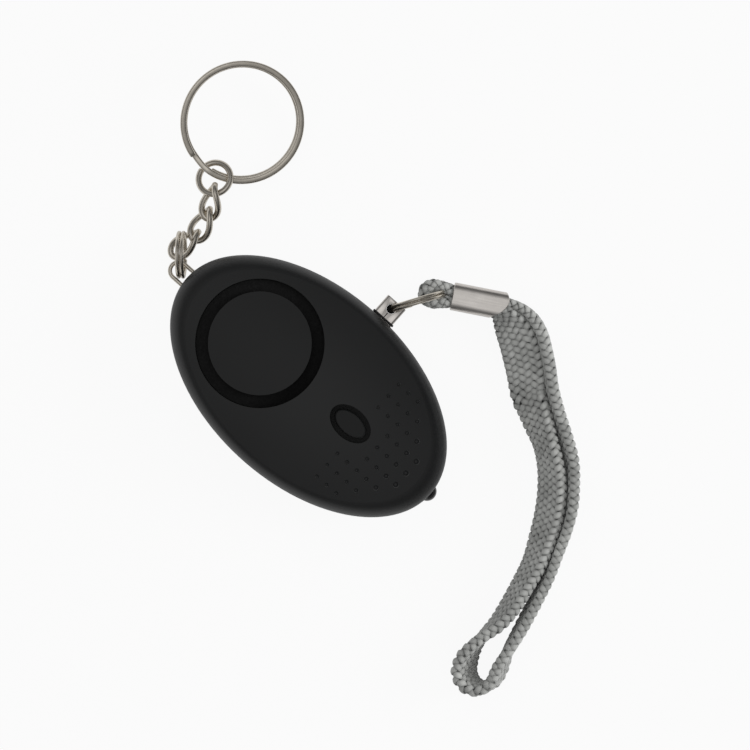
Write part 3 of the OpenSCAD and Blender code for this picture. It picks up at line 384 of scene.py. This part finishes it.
# from the ferrule's own directions, along and across, to the part's x and y
def fromEye(u, v):
    turn = math.radians(strap["eyeTurn"])
    return (strap["eyeAt"][0] + u * math.cos(turn) - v * math.sin(turn),
            strap["eyeAt"][1] + u * math.sin(turn) + v * math.cos(turn))


def smoothRoute(points, steps):
    p = np.array(points, float)
    out = []
    for i in range(len(p) - 1):
        a, b, c, d = p[max(i - 1, 0)], p[i], p[i + 1], p[min(i + 2, len(p) - 1)]
        for k in range(steps):
            t = k / steps
            out.append(0.5 * (2 * b + (c - a) * t + (2 * a - 5 * b + 4 * c - d) * t * t
                              + (3 * b - a - 3 * c + d) * t ** 3))
    out.append(p[-1])
    return np.array(out)


def strapRoute(strap):
    back = [(*fromEye(u, v), z, -lean, w, t) for u, v, z, lean, w, t in reversed(strap["eye"])]
    route = smoothRoute(strap["loop"] + back, strap["routeSteps"])
    run = np.r_[0, np.cumsum(np.linalg.norm(np.diff(route[:, :3], axis=0), axis=1))]
    return route, run


# place on a flat-sided oval of half sizes a and b, by its share of the way round
def ovalPlace(share, a, b):
    straight, bend = 2 * (a - b), math.pi * b
    way = (share % 1.0) * 2 * (straight + bend)
    lap = way - (straight + bend) * (way >= straight + bend)
    sign = np.where(way >= straight + bend, -1.0, 1.0)
    angle = np.clip((lap - straight) / np.maximum(b, 1e-9), 0, math.pi)
    x = np.where(lap < straight, (a - b) - lap, -(a - b) - b * np.sin(angle))
    y = np.where(lap < straight, b, b * np.cos(angle))
    nx = np.where(lap < straight, 0.0, -np.sin(angle))
    ny = np.where(lap < straight, 1.0, np.cos(angle))
    return x * sign, y * sign, nx * sign, ny * sign


def buildStrap(strap, carried):
    route, run = strapRoute(strap)
    n, row, sides = strap["yarns"], strap["rowMm"], strap["yarnSides"]
    pitch = row * n  # strap length in which a yarn goes once round
    s = np.arange(0, run[-1], row / strap["perStitch"])
    at = np.stack([np.interp(s, run, route[:, k]) for k in range(6)], 1)
    centre, halfWide, halfThick = at[:, :3], at[:, 4] / 2, at[:, 5] / 2
    ahead = unit(np.gradient(centre, axis=0))
    side = unit(np.cross([0.0, 0.0, 1.0], ahead))
    over = np.cross(ahead, side)
    lean = np.radians(at[:, 3:4])
    wide = over * np.cos(lean) + side * np.sin(lean)
    thin = np.cross(ahead, wide)
    around = circle(sides)
    flat = np.sign(np.sin(around)) * np.abs(np.sin(around)) ** strap["pressed"]
    way = 4 * (halfWide - halfThick) + 2 * math.pi * halfThick
    size = np.clip(way / strap["fullRound"] * strap["slimming"], strap["slimmest"], 1.0)
    yarnWide = strap["yarnFill"] * row * way / np.hypot(way, pitch)  # room left by the next yarn
    inset = (strap["swing"] + strap["yarnThick"] / 2) * size
    straight, bend = 2 * (halfWide - halfThick), math.pi * (halfThick - inset)
    lock = (straight + bend / 2) / (straight + bend) / 2 - strap["edgeLock"] / n
    points, faces, shade, uv = [], [], [], []
    rng = np.random.default_rng(strap["seed"])
    turnPart = (np.arange(sides)[:, None] + np.array([0, 1, 1, 0])) / sides
    for hand in (1, -1):
        for i in range(n):
            share = i / n + hand * s / pitch
            wave = hand * np.cos(2 * math.pi * n * share)
            rise = strap["swing"] * size * wave
            x, y, nx, ny = ovalPlace(share + lock, halfWide - inset, halfThick - inset)
            out = unit(wide * nx[:, None] + thin * ny[:, None])
            line = centre + wide * x[:, None] + thin * y[:, None] + out * rise[:, None]
            along = unit(np.gradient(line, axis=0))
            across = unit(np.cross(along, out))
            out = np.cross(across, along)
            half = yarnWide / 2 * (1 - strap["pinch"] + strap["pinch"] * wave)
            deep = strap["yarnThick"] / 2 * size
            ring = (line[:, None, :] + across[:, None, :] * (half[:, None] * np.cos(around))[..., None]
                    + out[:, None, :] * (deep[:, None] * flat)[..., None])
            faces += tubeFaces(len(s), sides, False, len(points) * len(s) * sides)
            points.append(ring.reshape(-1, 3))
            # painted shade: a yarn is paler on its crown, darker where it dips under the next yarn and towards
            # its sides
            crown = (0.5 + 0.5 * wave)[:, None] * np.clip(np.sin(around), 0, 1) ** strap["paintedCrownFall"]
            shade.append((rng.uniform(*strap["yarnTone"]) + strap["paintedCrownShade"] * (crown - 0.5)).ravel())
            quads = np.zeros((len(s) - 1, sides, 4, 2), np.float32)
            quads[..., 0] = turnPart
            quads[..., 1] = np.stack([s[:-1], s[:-1], s[1:], s[1:]], 1)[:, None, :]
            uv += [quads.reshape(-1, 2), np.zeros((2 * sides, 2), np.float32)]
    braidFaces, braidPoints = len(faces), len(points) * len(s) * sides

    # dark core inside the yarns, so that nothing shows through between them; its dark colour is painted shade
    # between the yarns
    every, rows = strap["coreEvery"], []
    coreShare = np.arange(strap["coreSides"]) / strap["coreSides"]
    for c, w, t, a, b, sz in zip(*(v[::every] for v in (centre, wide, thin, halfWide, halfThick, size))):
        deep = (strap["swing"] * 2 + strap["yarnThick"] * strap["coreUnder"]) * sz
        x, y, _, _ = ovalPlace(coreShare, a - deep, b - deep)
        rows.append(c + np.outer(x, w) + np.outer(y, t))
    faces += tubeFaces(len(rows), strap["coreSides"], False, braidPoints)
    allPoints = np.concatenate(points + [np.concatenate(rows)])
    mesh = newMesh("strapBraid", allPoints, faces)
    piece = addPiece("strapBraid", mesh, [strapYarn, strapCore], "strap",
                     ("strap_loop", "strap_eye"), sharp=None)
    slots = np.zeros(len(faces), np.int32)
    slots[braidFaces:] = 1
    mesh.polygons.foreach_set("material_index", slots)
    value = np.full(len(allPoints), strap["corePaintedShade"], np.float32)
    value[:braidPoints] = np.concatenate(shade)
    mesh.attributes.new("yarnToneAndPaintedShade", "FLOAT", "POINT").data.foreach_set("value", value)
    corners = np.zeros((len(mesh.loops), 2), np.float32)
    uv = np.concatenate(uv)
    corners[:len(uv)] = uv
    mesh.uv_layers.new(name="yarn").data.foreach_set("uv", corners.ravel())


# crimp ferrule: sheet folded to a square tube with its seam below, its strap end cut aslant and,
# on top, curved out
ferrule = {
    "start": 2.1, "long": 10.7, "wide": 5.6, "thick": 0.5, "corner": 1.5, "middle": 5.0,
    "slant": 24,
    "bulge": 1.7,  # how far the top of the strap end stands out past the straight cut
    "roll": 0.12,  # rounding of the sheet's cut edges
    "seam": 0.3,
    "arc": 8,  # steps round a corner
    "flat": 12,  # steps across the top
    "sharp": 30,
}
sheetFerrule = nickelPlate("nickelPlatedSheetFerrule", plateLooks["sheet"], 0.28,
                           math.radians(strap["eyeTurn"]))


# across and up, from one side of the seam round to the other
def foldedLoop(half, corner, ferrule):
    run = half - corner
    loop = [(ferrule["seam"] / 2, -half)]
    for k, (across, up) in enumerate(((run, -run), (run, run), (-run, run), (-run, -run))):
        for a in np.radians(np.linspace(90 * k - 90, 90 * k, ferrule["arc"] + 1)):
            loop.append((across + corner * math.cos(a), up + corner * math.sin(a)))
        if k == 1:
            loop += [(v, half) for v in np.linspace(run, -run, ferrule["flat"] + 1)[1:-1]]
    return loop + [(-ferrule["seam"] / 2, -half)]


def buildFerrule(ferrule):
    half, thick, start, roll = ferrule["wide"] / 2, ferrule["thick"], ferrule["start"], ferrule["roll"]
    outer = foldedLoop(half, ferrule["corner"], ferrule)
    inner = foldedLoop(half - thick, ferrule["corner"] - thick, ferrule)
    ends = []
    for v, up in outer:
        end = start + ferrule["long"] - (half - v) * math.tan(math.radians(ferrule["slant"]))
        ends.append(end + (ferrule["bulge"] * (1 - (v / half) ** 2) if up > 0 else 0))
    count, share, points = len(outer), roll / thick, []
    for atStart, back, depth in ((True, 0, share), (True, roll, 0), (False, roll, 0), (False, 0, share)):
        row = []
        for k, (out, into) in enumerate(zip(outer, inner)):
            along = start + back if atStart else ends[k] - back
            row.append([(along, *(o + (i - o) * d for o, i in zip(out, into))) for d in (depth, 1 - depth)])
        points += [pair[0] for pair in row] + [pair[1] for pair in reversed(row)]
    sides = 2 * count
    last = 3 * sides
    faces = tubeFaces(4, sides, False)[:-2]  # the ends are strips of sheet, not whole caps
    for k in range(count - 1):
        faces.append((sides - 1 - k, sides - 2 - k, k + 1, k))
        faces.append((last + k, last + k + 1, last + sides - 2 - k, last + sides - 1 - k))
    placed = [(*fromEye(u, v), ferrule["middle"] + up) for u, v, up in points]
    return addPiece("strapFerrule", newMesh("strapFerrule", placed, faces), [sheetFerrule], "strap",
                    ("strap_ferrule",), ferrule["sharp"])


buildStrap(strap, buildFerrule(ferrule))


# turns given as in the CAD source: about x, then y, then z
def turned(points, degrees, at):
    x, y, z = (Matrix.Rotation(math.radians(d), 3, a) for d, a in zip(degrees, "XYZ"))
    return np.asarray(points) @ np.array(z @ y @ x).T + np.array(at)


wire = {
    "sides": 20,
    "sharp": 50,
    # a cut end's rings: way in from the end and share of the full section, so that its edge is rolled
    "rolled": ((0.0, 0.72), (0.05, 0.88), (0.12, 0.96)),
}


def wireSection(width, height, power):
    a = circle(wire["sides"])
    c, s = np.cos(a), np.sin(a)
    return np.stack([width / 2 * np.sign(c) * np.abs(c) ** power,
                     height / 2 * np.sign(s) * np.abs(s) ** power], 1)


def wireRings(line, outward, section, closed):
    ahead = np.roll(line, -1, 0) - np.roll(line, 1, 0) if closed else np.gradient(line, axis=0)
    ahead = unit(ahead)
    outward = unit(outward - ahead * (outward * ahead).sum(1, keepdims=True))
    face = np.cross(ahead, outward)
    rings = (line[:, None, :] + outward[:, None, :] * section[None, :, 0:1]
             + face[:, None, :] * section[None, :, 1:2])
    if closed:
        return rings
    first, last = [], []
    for back, share in wire["rolled"]:
        first.append(line[0] + ahead[0] * back + (rings[0] - line[0]) * share)
        last.append(line[-1] - ahead[-1] * back + (rings[-1] - line[-1]) * share)
    return np.concatenate([np.array(first), rings[2:-2], np.array(last[::-1])])


# a wire's rings turned into place, by one turn or several
def wirePiece(name, rings, closed, turns, at, body, node):
    rows, sides = rings.shape[:2]
    points = rings.reshape(-1, 3)
    for turn in turns[:-1]:
        points = turned(points, turn, (0, 0, 0))
    points = turned(points, turns[-1], at)
    addPiece(name, newMesh(name, points, tubeFaces(rows, sides, closed)), [wireNickel], body,
             (node,), wire["sharp"])


# split rings of two turns: mean radius, wire width and height, roundness, bearing of the split
splitRings = {
    "bailRing": {"node": "bail_ring", "body": "bail_ring", "radius": 4.4, "wire": (0.8, 0.8), "power": 1.0,
                 "spread": 0, "split": 270, "turns": [(90, 0, 0), (3, 1, -49)], "at": (-36.592, 2.689, 5.4)},
    "pinRing": {"node": "pin_ring", "body": "pin_ring", "radius": 5.5, "wire": (0.7, 0.7), "power": 1.0,
                "spread": 0, "split": 270, "turns": [(90, 0, 58)], "at": (4.991, 27.135, 6.3)},
    "keyRing": {"node": "key_ring", "body": "key_ring", "radius": 11.735, "wire": (1.24, 0.95), "power": 0.6,
                "spread": 0.145,  # the upper turn is a little wider
                "split": 158, "turns": [(12, -8, 109)], "at": (-45.19, 30.69, 4.1)},
}
splitForm = {
    "ramp": 12,  # degrees in which one turn climbs onto the other
    "gap": 0.05,  # between the turns
    "steps": 300,
}


def buildSplitRing(name, ring):
    ramp, steps = splitForm["ramp"], splitForm["steps"]
    a = ramp + (720 - 2 * ramp) * np.arange(steps + 1) / steps
    climb = np.sin(np.radians(90 * np.clip((a - 360) / ramp, -1, 1)))
    z = (ring["wire"][1] + splitForm["gap"]) / 2 * climb
    b = np.radians(a + ring["split"])
    r = ring["radius"] + ring["spread"] * climb
    line = np.stack([r * np.cos(b), r * np.sin(b), z], 1)
    outward = np.stack([np.cos(b), np.sin(b), 0 * b], 1)
    rings = wireRings(line, outward, wireSection(*ring["wire"], ring["power"]), False)
    wirePiece(name, rings, False, ring["turns"], ring["at"], ring["body"], ring["node"])


for ringName, ring in splitRings.items():
    buildSplitRing(ringName, ring)

# twisted curb links and the jump ring
chain = {
    "half": (3.525, 2.075),  # half length and half width at the wire's middle
    "wire": 1.25,
    "power": 0.86,  # the wire is pressed a little square
    "twist": 90,
    "steps": 96,
    "links": {
        "chainLink1": ("chain_link_1", "link_1", (-39, -1, 84), (-37.597, 4.891, 2.2)),
        "chainLink2": ("chain_link_2", "link_2", (-36, -4, 105), (-37.597, 9.991, 2.6)),
        "chainLink3": ("chain_link_3", "link_3", (-44, -14, 119), (-39.183, 14.595, 3.6)),
    },
}
jump = {"radius": 3.3, "wire": 1.25, "cutAt": 76, "cut": 4, "steps": 120,
        "turn": (-18, 8, 106), "at": (-41.88, 18.6, 3.3)}


def buildLink(chain, name, node, body, turn, at):
    t = circle(chain["steps"])
    tip = np.radians(-chain["twist"] / 2 * np.cos(t))
    a, b = chain["half"]
    line = np.stack([a * np.cos(t), b * np.sin(t) * np.cos(tip), b * np.sin(t) * np.sin(tip)], 1)
    ahead = unit(np.roll(line, -1, 0) - np.roll(line, 1, 0))
    out = unit(np.cross(np.stack([0 * t, -np.sin(tip), np.cos(tip)], 1), ahead))
    rings = wireRings(line, out, wireSection(chain["wire"], chain["wire"], chain["power"]), True)
    wirePiece(name, rings, True, [turn], at, body, node)


def buildJumpRing(jump):
    start = jump["cutAt"] + jump["cut"] / 2
    b = np.radians(np.linspace(start, start + 360 - jump["cut"], jump["steps"] + 1))
    outward = np.stack([np.cos(b), np.sin(b), 0 * b], 1)
    section = wireSection(jump["wire"], jump["wire"], 1.0)
    rings = wireRings(outward * jump["radius"], outward, section, False)
    wirePiece("jumpRing", rings, False, [jump["turn"]], jump["at"], "jump_ring", "jump_ring")


for linkName, (node, body, turn, at) in chain["links"].items():
    buildLink(chain, linkName, node, body, turn, at)
buildJumpRing(jump)
print("rings and chain drawn")

blockRoll = {"size": 0.12, "bend": 0.3, "least": 0.02}  # rolled edge, its middle ring, least corner


# closed block of rounded section along y, as points and faces: middle, sizes in x and z, from y0 to y1
def roundedBlock(middle, wide, high, corner, ends, sides=8):
    def ring(shrink, y):
        loop = []
        for sx, sz, start in ((1, 1, 0), (-1, 1, 90), (-1, -1, 180), (1, -1, 270)):
            for k in range(sides + 1):
                a = math.radians(start + 90 * k / sides)
                r = max(corner - shrink, blockRoll["least"])
                loop.append((middle[0] + sx * (wide / 2 - corner) + r * math.cos(a), y,
                             middle[1] + sz * (high / 2 - corner) + r * math.sin(a)))
        return loop
    (y0, y1), roll = ends, blockRoll["size"]
    bend = roll * blockRoll["bend"]
    rings = [ring(shrink, y) for shrink, y in ((roll, y0), (bend, y0 + bend), (0, y0 + roll),
                                               (0, y1 - roll), (bend, y1 - bend), (roll, y1))]
    faces = [tuple(reversed(f)) for f in tubeFaces(len(rings), len(rings[0]), False)]
    return [p for loop in rings for p in loop], faces


def drill(middle, diameter, low, high, sides=64):
    ring = [(middle[0] + diameter / 2 * math.cos(a), middle[1] + diameter / 2 * math.sin(a))
            for a in circle(sides)]
    points = [(x, y, low) for x, y in ring] + [(x, y, high) for x, y in ring]
    return points, tubeFaces(2, sides, False)


# the block less each cutter, as a plain mesh
def cutMesh(name, block, cutters, bevel):
    items = []
    for label, (points, faces) in [("Block", block)] + [("Cutter", cutter) for cutter in cutters]:
        items.append(bpy.data.objects.new(name + label, newMesh(name + label, points, faces)))
        scene.collection.objects.link(items[-1])
    base, *tools = items
    for tool in tools:
        cut = base.modifiers.new("cut", "BOOLEAN")
        cut.operation, cut.solver, cut.object = "DIFFERENCE", "EXACT", tool
    edge = base.modifiers.new("edge", "BEVEL")
    edge.width, edge.segments = bevel * mm, 2
    edge.limit_method, edge.angle_limit = "ANGLE", math.radians(50)
    bpy.context.view_layer.update()
    shaped = bpy.data.meshes.new_from_object(base.evaluated_get(bpy.context.evaluated_depsgraph_get()))
    for item in items:
        old = item.data
        bpy.data.objects.remove(item)
        bpy.data.meshes.remove(old)
    shaped.name = name
    return shaped


# pin: a folded plated sheet round a black core, with a collar at the casing
pin = {
    "middle": (2.1, 7.0),
    "wide": 4.7, "high": 2.4, "corner": 0.55,
    "ends": (18.259, 24.259),
    "sheet": 0.36, "boreCorner": 0.25,
    "holeAt": (2.1, 22.509), "hole": 2.0,
    "seam": 0.16, "seamCorner": 0.03, "seamDeep": 1.9,  # depth as a share of the pin's height
    "past": 1,  # how far cutters run past the ends
    "bevel": 0.05,
    "coreGap": 0.01, "coreCorner": 0.24, "coreShort": (1.2, 0.25), "coreBevel": 0.04,
    "collar": (19.85, 20.3), "collarOver": 0.25,
    "grommet": 1.9, "grommetFrom": (6.2, 7.3),  # black bush round the ring's wires, turning with them; its black is painted shade inside the pin's hole
    "grommetBevel": 0.1,
}
sheetPin = nickelPlate("nickelPlatedSheetPin", plateLooks["sheet"], 0.2, math.radians(90))
# the bush's near-black stands in for the shade inside the pin's hole: painted shade
holeShadeBlack = clouded("blackPaintedHoleShade", "#050505", "#090909", 0.8, {"Roughness": 0.9, "IOR": 1.52}, 0.3)
nylonBlack = clouded("nylonMouldedBlack", "#0c0c0d", "#151517", 2.0, {"Roughness": 0.5, "IOR": 1.53})


def buildPin(pin):
    middle, wide, high, corner = (pin[key] for key in ("middle", "wide", "high", "corner"))
    (y0, y1), past, over = pin["ends"], pin["past"], pin["collarOver"]
    low, top = middle[1] - high, middle[1] + high
    boreWide, boreHigh = wide - 2 * pin["sheet"], high - 2 * pin["sheet"]
    through = (y0 - past, y1 + past)
    outside = roundedBlock(middle, wide, high, corner, pin["ends"])
    bore = roundedBlock(middle, boreWide, boreHigh, pin["boreCorner"], through)
    slit = roundedBlock((middle[0], top), pin["seam"], high * pin["seamDeep"], pin["seamCorner"], through, 2)
    hole = drill(pin["holeAt"], pin["hole"], low, top)
    sleeve = cutMesh("pinSleeve", outside, [bore, slit, hole], pin["bevel"])
    addPiece("pinSleeve", sleeve, [sheetPin], "pin", ("pin_sleeve",))
    gap, (short0, short1) = 2 * pin["coreGap"], pin["coreShort"]
    filling = roundedBlock(middle, boreWide - gap, boreHigh - gap, pin["coreCorner"],
                           (y0 + short0, y1 - short1))
    core = cutMesh("pinCore", filling, [hole], pin["coreBevel"])
    addPiece("pinCore", core, [nylonBlack], "pin")
    band = roundedBlock(middle, wide + 2 * over, high + 2 * over, corner + over, pin["collar"])
    collar = cutMesh("pinCollar", band, [outside], pin["bevel"])
    addPiece("pinCollar", collar, [nylonBlack], "pin")
    bush = drill(pin["holeAt"], pin["grommet"], *pin["grommetFrom"])
    grommet = cutMesh("pinHoleShadeBush", bush, [], pin["grommetBevel"])
    addPiece("pinHoleShadeBush", grommet, [holeShadeBlack], "pin_ring")


buildPin(pin)
print("pin folded")

# two outer grip dots, low domes on the front shell beside those moulded in the CAD shell
outerDots = {"at": [(18.3, 12.2), (18.3, -12.2)], "wide": 0.98, "high": 0.25, "sink": 0.15,
             "sides": 32, "rings": 8}
dome = {"top": 16.0, "radius": 179.0, "half": (32.5, 19.8)}


def domeHeight(x, y):
    stretched = y * dome["half"][0] / dome["half"][1]
    return dome["top"] - dome["radius"] + math.sqrt(dome["radius"] ** 2 - x * x - stretched * stretched)


def buildDots(dots):
    points, faces = [], []
    for x, y in dots["at"]:
        first, base = len(points), domeHeight(x, y) - dots["sink"]
        for k in range(dots["rings"]):
            a = 0.5 * math.pi * k / dots["rings"]
            r, z = dots["wide"] / 2 * math.cos(a), (dots["high"] + dots["sink"]) * math.sin(a)
            points += [(x + r * math.cos(t), y + r * math.sin(t), base + z) for t in circle(dots["sides"])]
        faces += tubeFaces(dots["rings"], dots["sides"], False, first)
    addPiece("gripDotsOuter", newMesh("gripDotsOuter", points, faces), [shellAbs], "casing")


# felt ring in the sound gap, laid on the siren cap's flange; its near-black colour is painted shade for the
# deep gap
cloth = {"at": (-12.8, 0.0), "inner": 9.3, "outer": 12.78, "low": 13.0, "thick": 0.14, "roll": 0.049,
         "sides": 144}
# near-black felt: painted shade of the deep sound gap
gapShadeFelt = clouded("feltPaintedGapShade", "#131313", "#1b1b1b", 0.35,
                    {"Roughness": 0.95, "IOR": 1.4, "Specular IOR Level": 0.12}, 0.6)


def buildCloth(cloth):
    inner, outer, thick, roll = (cloth[key] for key in ("inner", "outer", "thick", "roll"))
    profile = [(inner, 0), (outer, 0), (outer, thick - roll), (outer - roll, thick), (inner + roll, thick),
               (inner, thick - roll)]
    points = [(cloth["at"][0] + r * math.cos(a), cloth["at"][1] + r * math.sin(a), cloth["low"] + z)
              for a in circle(cloth["sides"]) for r, z in profile]
    faces = [tuple(reversed(f)) for f in tubeFaces(cloth["sides"], len(profile), True)]
    addPiece("sirenGapShadeRing", newMesh("sirenGapShadeRing", points, faces), [gapShadeFelt], "casing")


buildDots(outerDots)
buildCloth(cloth)
print("dots and cloth laid")

# finishes of the pieces that keep their CAD shape
lensSmoke = clouded("acrylicMouldedSmoked", "#0b0b0d", "#121214", 3.0,
                    {"Roughness": 0.08, "IOR": 1.49, "Transmission Weight": 0.3}, 0.02)
acetalIvory = clouded("acetalMouldedIvory", "#d3cdb9", "#e2dccb", 2.0, {"Roughness": 0.4, "IOR": 1.48})
brassRolled = clouded("brassRolledSheet", "#a8853e", "#c39f55", 1.5, {"Metallic": 1.0, "Roughness": 0.3})
ceramicFired = clouded("ceramicFiredSilvered", "#c9c4b6", "#dcd8cc", 1.2, {"Roughness": 0.45, "IOR": 1.7})
foamPolyurethane = clouded("polyurethaneFoamCut", "#1f1f20", "#2c2c2d", 0.4, {"Roughness": 0.95}, 0.6)
leadPvc = clouded("pvcExtrudedRed", "#8e1d18", "#a52a22", 1.0, {"Roughness": 0.45, "IOR": 1.53})
boardEpoxy = clouded("epoxyBoardSolderMask", "#134a2b", "#1c5f38", 1.8, {"Roughness": 0.3, "IOR": 1.55})
copperEnamel = clouded("copperEnamelledWinding", "#7a3f1c", "#9a5428", 0.4,
                       {"Metallic": 0.8, "Roughness": 0.35}, 0.5)
canAluminium = clouded("aluminiumDrawnCan", "#8d8f92", "#b3b5b8", 1.2, {"Metallic": 1.0, "Roughness": 0.32})
cellSteel = clouded("steelNickelledCell", "#b5b6b8", "#d2d3d4", 2.0, {"Metallic": 1.0, "Roughness": 0.22})
screwSteel = clouded("steelZincedScrew", "#9fa1a4", "#c3c5c8", 0.8, {"Metallic": 1.0, "Roughness": 0.3})

finishes = {
    "front_shell": shellAbs, "rear_shell": shellAbs, "siren_cap": capAbs, "light_button": keyAbs,
    "light_led": lensSmoke, "switch_plunger": acetalIvory, "push_switch": nylonBlack,
    "driver_chip": nylonBlack, "cell_tray": nylonBlack, "pin_blade": nylonBlack,
    "piezo_plate": brassRolled, "piezo_ceramic": ceramicFired, "piezo_gasket": foamPolyurethane,
    "piezo_leads": leadPvc, "circuit_board": boardEpoxy, "boost_coil": copperEnamel,
    "capacitor": canAluminium, "button_cells": cellSteel, "cell_straps": wireNickel,
    "cell_springs": wireNickel, "pin_contact_upper": brassRolled, "pin_contact_lower": brassRolled,
    "casing_screws": screwSteel, "board_screws": screwSteel, "bail": wireNickel,
}
for name, material in finishes.items():
    cad = nodes[name]
    cad.data.materials.clear()
    cad.data.materials.append(material)
print("finishes set on", len(finishes), "CAD nodes")

# studio, in metres: a white floor, an even tent for soft light, and in the tent's mirror image dark sides
studio = {
    "floorSize": 4.0,
    "floorAt": -0.00005,  # just under the casing's flat back
    "floorPaper": 0.55,  # how much of its light the floor gives back to the part
    "floorShine": 0.93,  # share of plain white that the camera sees, the rest shows the shadow
    "floorMirror": 0.6,  # share of that white that shiny parts see
    "tent": [(0.0, 0.2), (0.5, 0.5), (1.0, 0.84)],  # height, soft light
    "mirror": [(0.0, 0.75), (0.15, 0.38), (0.35, 0.1), (0.7, 0.14), (0.88, 0.34), (0.975, 0.52),
               (1.0, 1.0)],  # height, what shiny parts see
    "bright": (-0.74751, -0.66426, 0.0),  # side from which shiny parts are lit, the frame's left hand
    "uneven": (0.6, 1.4),  # share of the mirror image far from that side and on it
    "lamps": [
        {"name": "lampLeft", "at": (-1.0, 0.6, 0.9), "size": 1.0, "power": 1.5},
        {"name": "lampRight", "at": (0.95, 0.95, 0.6), "size": 0.7, "power": 12.0},
    ],
}


def seenRays(tree):
    light = addNode(tree, "ShaderNodeLightPath")
    seen = addNode(tree, "ShaderNodeMath", {"operation": "MAXIMUM"},
                   {0: light.outputs["Is Camera Ray"], 1: light.outputs["Is Transmission Ray"]})
    return light.outputs["Is Glossy Ray"], seen.outputs[0]


def buildFloor(studio):
    half, low = studio["floorSize"] / 2, studio["floorAt"]
    mesh = bpy.data.meshes.new("studioFloor")
    mesh.from_pydata([(x * half, y * half, low) for x, y in ((-1, -1), (1, -1), (1, 1), (-1, 1))], [],
                     [(0, 1, 2, 3)])
    floor = bpy.data.objects.new("studioFloor", mesh)
    scene.collection.objects.link(floor)
    material = bpy.data.materials.new("paperMattWhite")
    material.use_nodes = True
    tree = material.node_tree
    tree.nodes.clear()
    paper = addNode(tree, "ShaderNodeBsdfDiffuse", {"Color": grey(studio["floorPaper"])})
    plain = addNode(tree, "ShaderNodeEmission", {"Color": grey(1.0), "Strength": 1.0})
    glossy, seen = seenRays(tree)
    mirrored = addNode(tree, "ShaderNodeMath", {"operation": "MULTIPLY", 1: studio["floorMirror"]}, {0: glossy})
    either = addNode(tree, "ShaderNodeMath", {"operation": "MAXIMUM"}, {0: seen, 1: mirrored.outputs[0]})
    share = addNode(tree, "ShaderNodeMath", {"operation": "MULTIPLY", 1: studio["floorShine"]},
                    {0: either.outputs[0]})
    mixed = addNode(tree, "ShaderNodeMixShader", None,
                    {0: share.outputs[0], 1: paper.outputs[0], 2: plain.outputs[0]})
    addNode(tree, "ShaderNodeOutputMaterial", None, {"Surface": mixed.outputs[0]})
    mesh.materials.append(material)


def buildWorld(studio):
    world = bpy.data.worlds.new("studioTent")
    scene.world = world
    world.use_nodes = True
    tree = world.node_tree
    tree.nodes.clear()
    toward = addNode(tree, "ShaderNodeTexCoord").outputs["Generated"]
    part = addNode(tree, "ShaderNodeSeparateXYZ", None, {"Vector": toward})
    soft, mirror = (addNode(tree, "ShaderNodeValToRGB", None, {"Fac": part.outputs["Z"]},
                            [(height, grey(level)) for height, level in studio[kind]]).outputs["Color"]
                    for kind in ("tent", "mirror"))
    facing = addNode(tree, "ShaderNodeVectorMath", {"operation": "DOT_PRODUCT", 1: studio["bright"]},
                     {0: toward})
    far, near = studio["uneven"]
    level = addNode(tree, "ShaderNodeMapRange",
                    {"From Min": -1.0, "From Max": 1.0, "To Min": far, "To Max": near},
                    {"Value": facing.outputs["Value"]})
    sided = addNode(tree, "ShaderNodeVectorMath", {"operation": "SCALE"},
                    {0: mirror, "Scale": level.outputs[0]})
    glossy, seen = seenRays(tree)
    lit = addNode(tree, "ShaderNodeMix", {"data_type": "RGBA"}, {0: glossy, 6: soft, 7: sided.outputs[0]})
    colour = addNode(tree, "ShaderNodeMix", {"data_type": "RGBA", 7: grey(1.0)}, {0: seen, 6: lit.outputs[2]})
    glow = addNode(tree, "ShaderNodeBackground", {"Strength": 1.0}, {"Color": colour.outputs[2]})
    addNode(tree, "ShaderNodeOutputWorld", None, {"Surface": glow.outputs[0]})


def buildLamps(studio):
    for lamp in studio["lamps"]:
        data = bpy.data.lights.new(lamp["name"], "AREA")
        data.shape, data.size, data.energy = "DISK", lamp["size"], lamp["power"]
        item = bpy.data.objects.new(lamp["name"], data)
        scene.collection.objects.link(item)
        item.location = lamp["at"]
        item.visible_glossy = False  # shiny parts see the tent's mirror image instead
        item.rotation_mode = "QUATERNION"
        item.rotation_quaternion = (-Vector(lamp["at"])).to_track_quat("-Z", "Y")


buildFloor(studio)
buildWorld(studio)
buildLamps(studio)
print("studio lit")
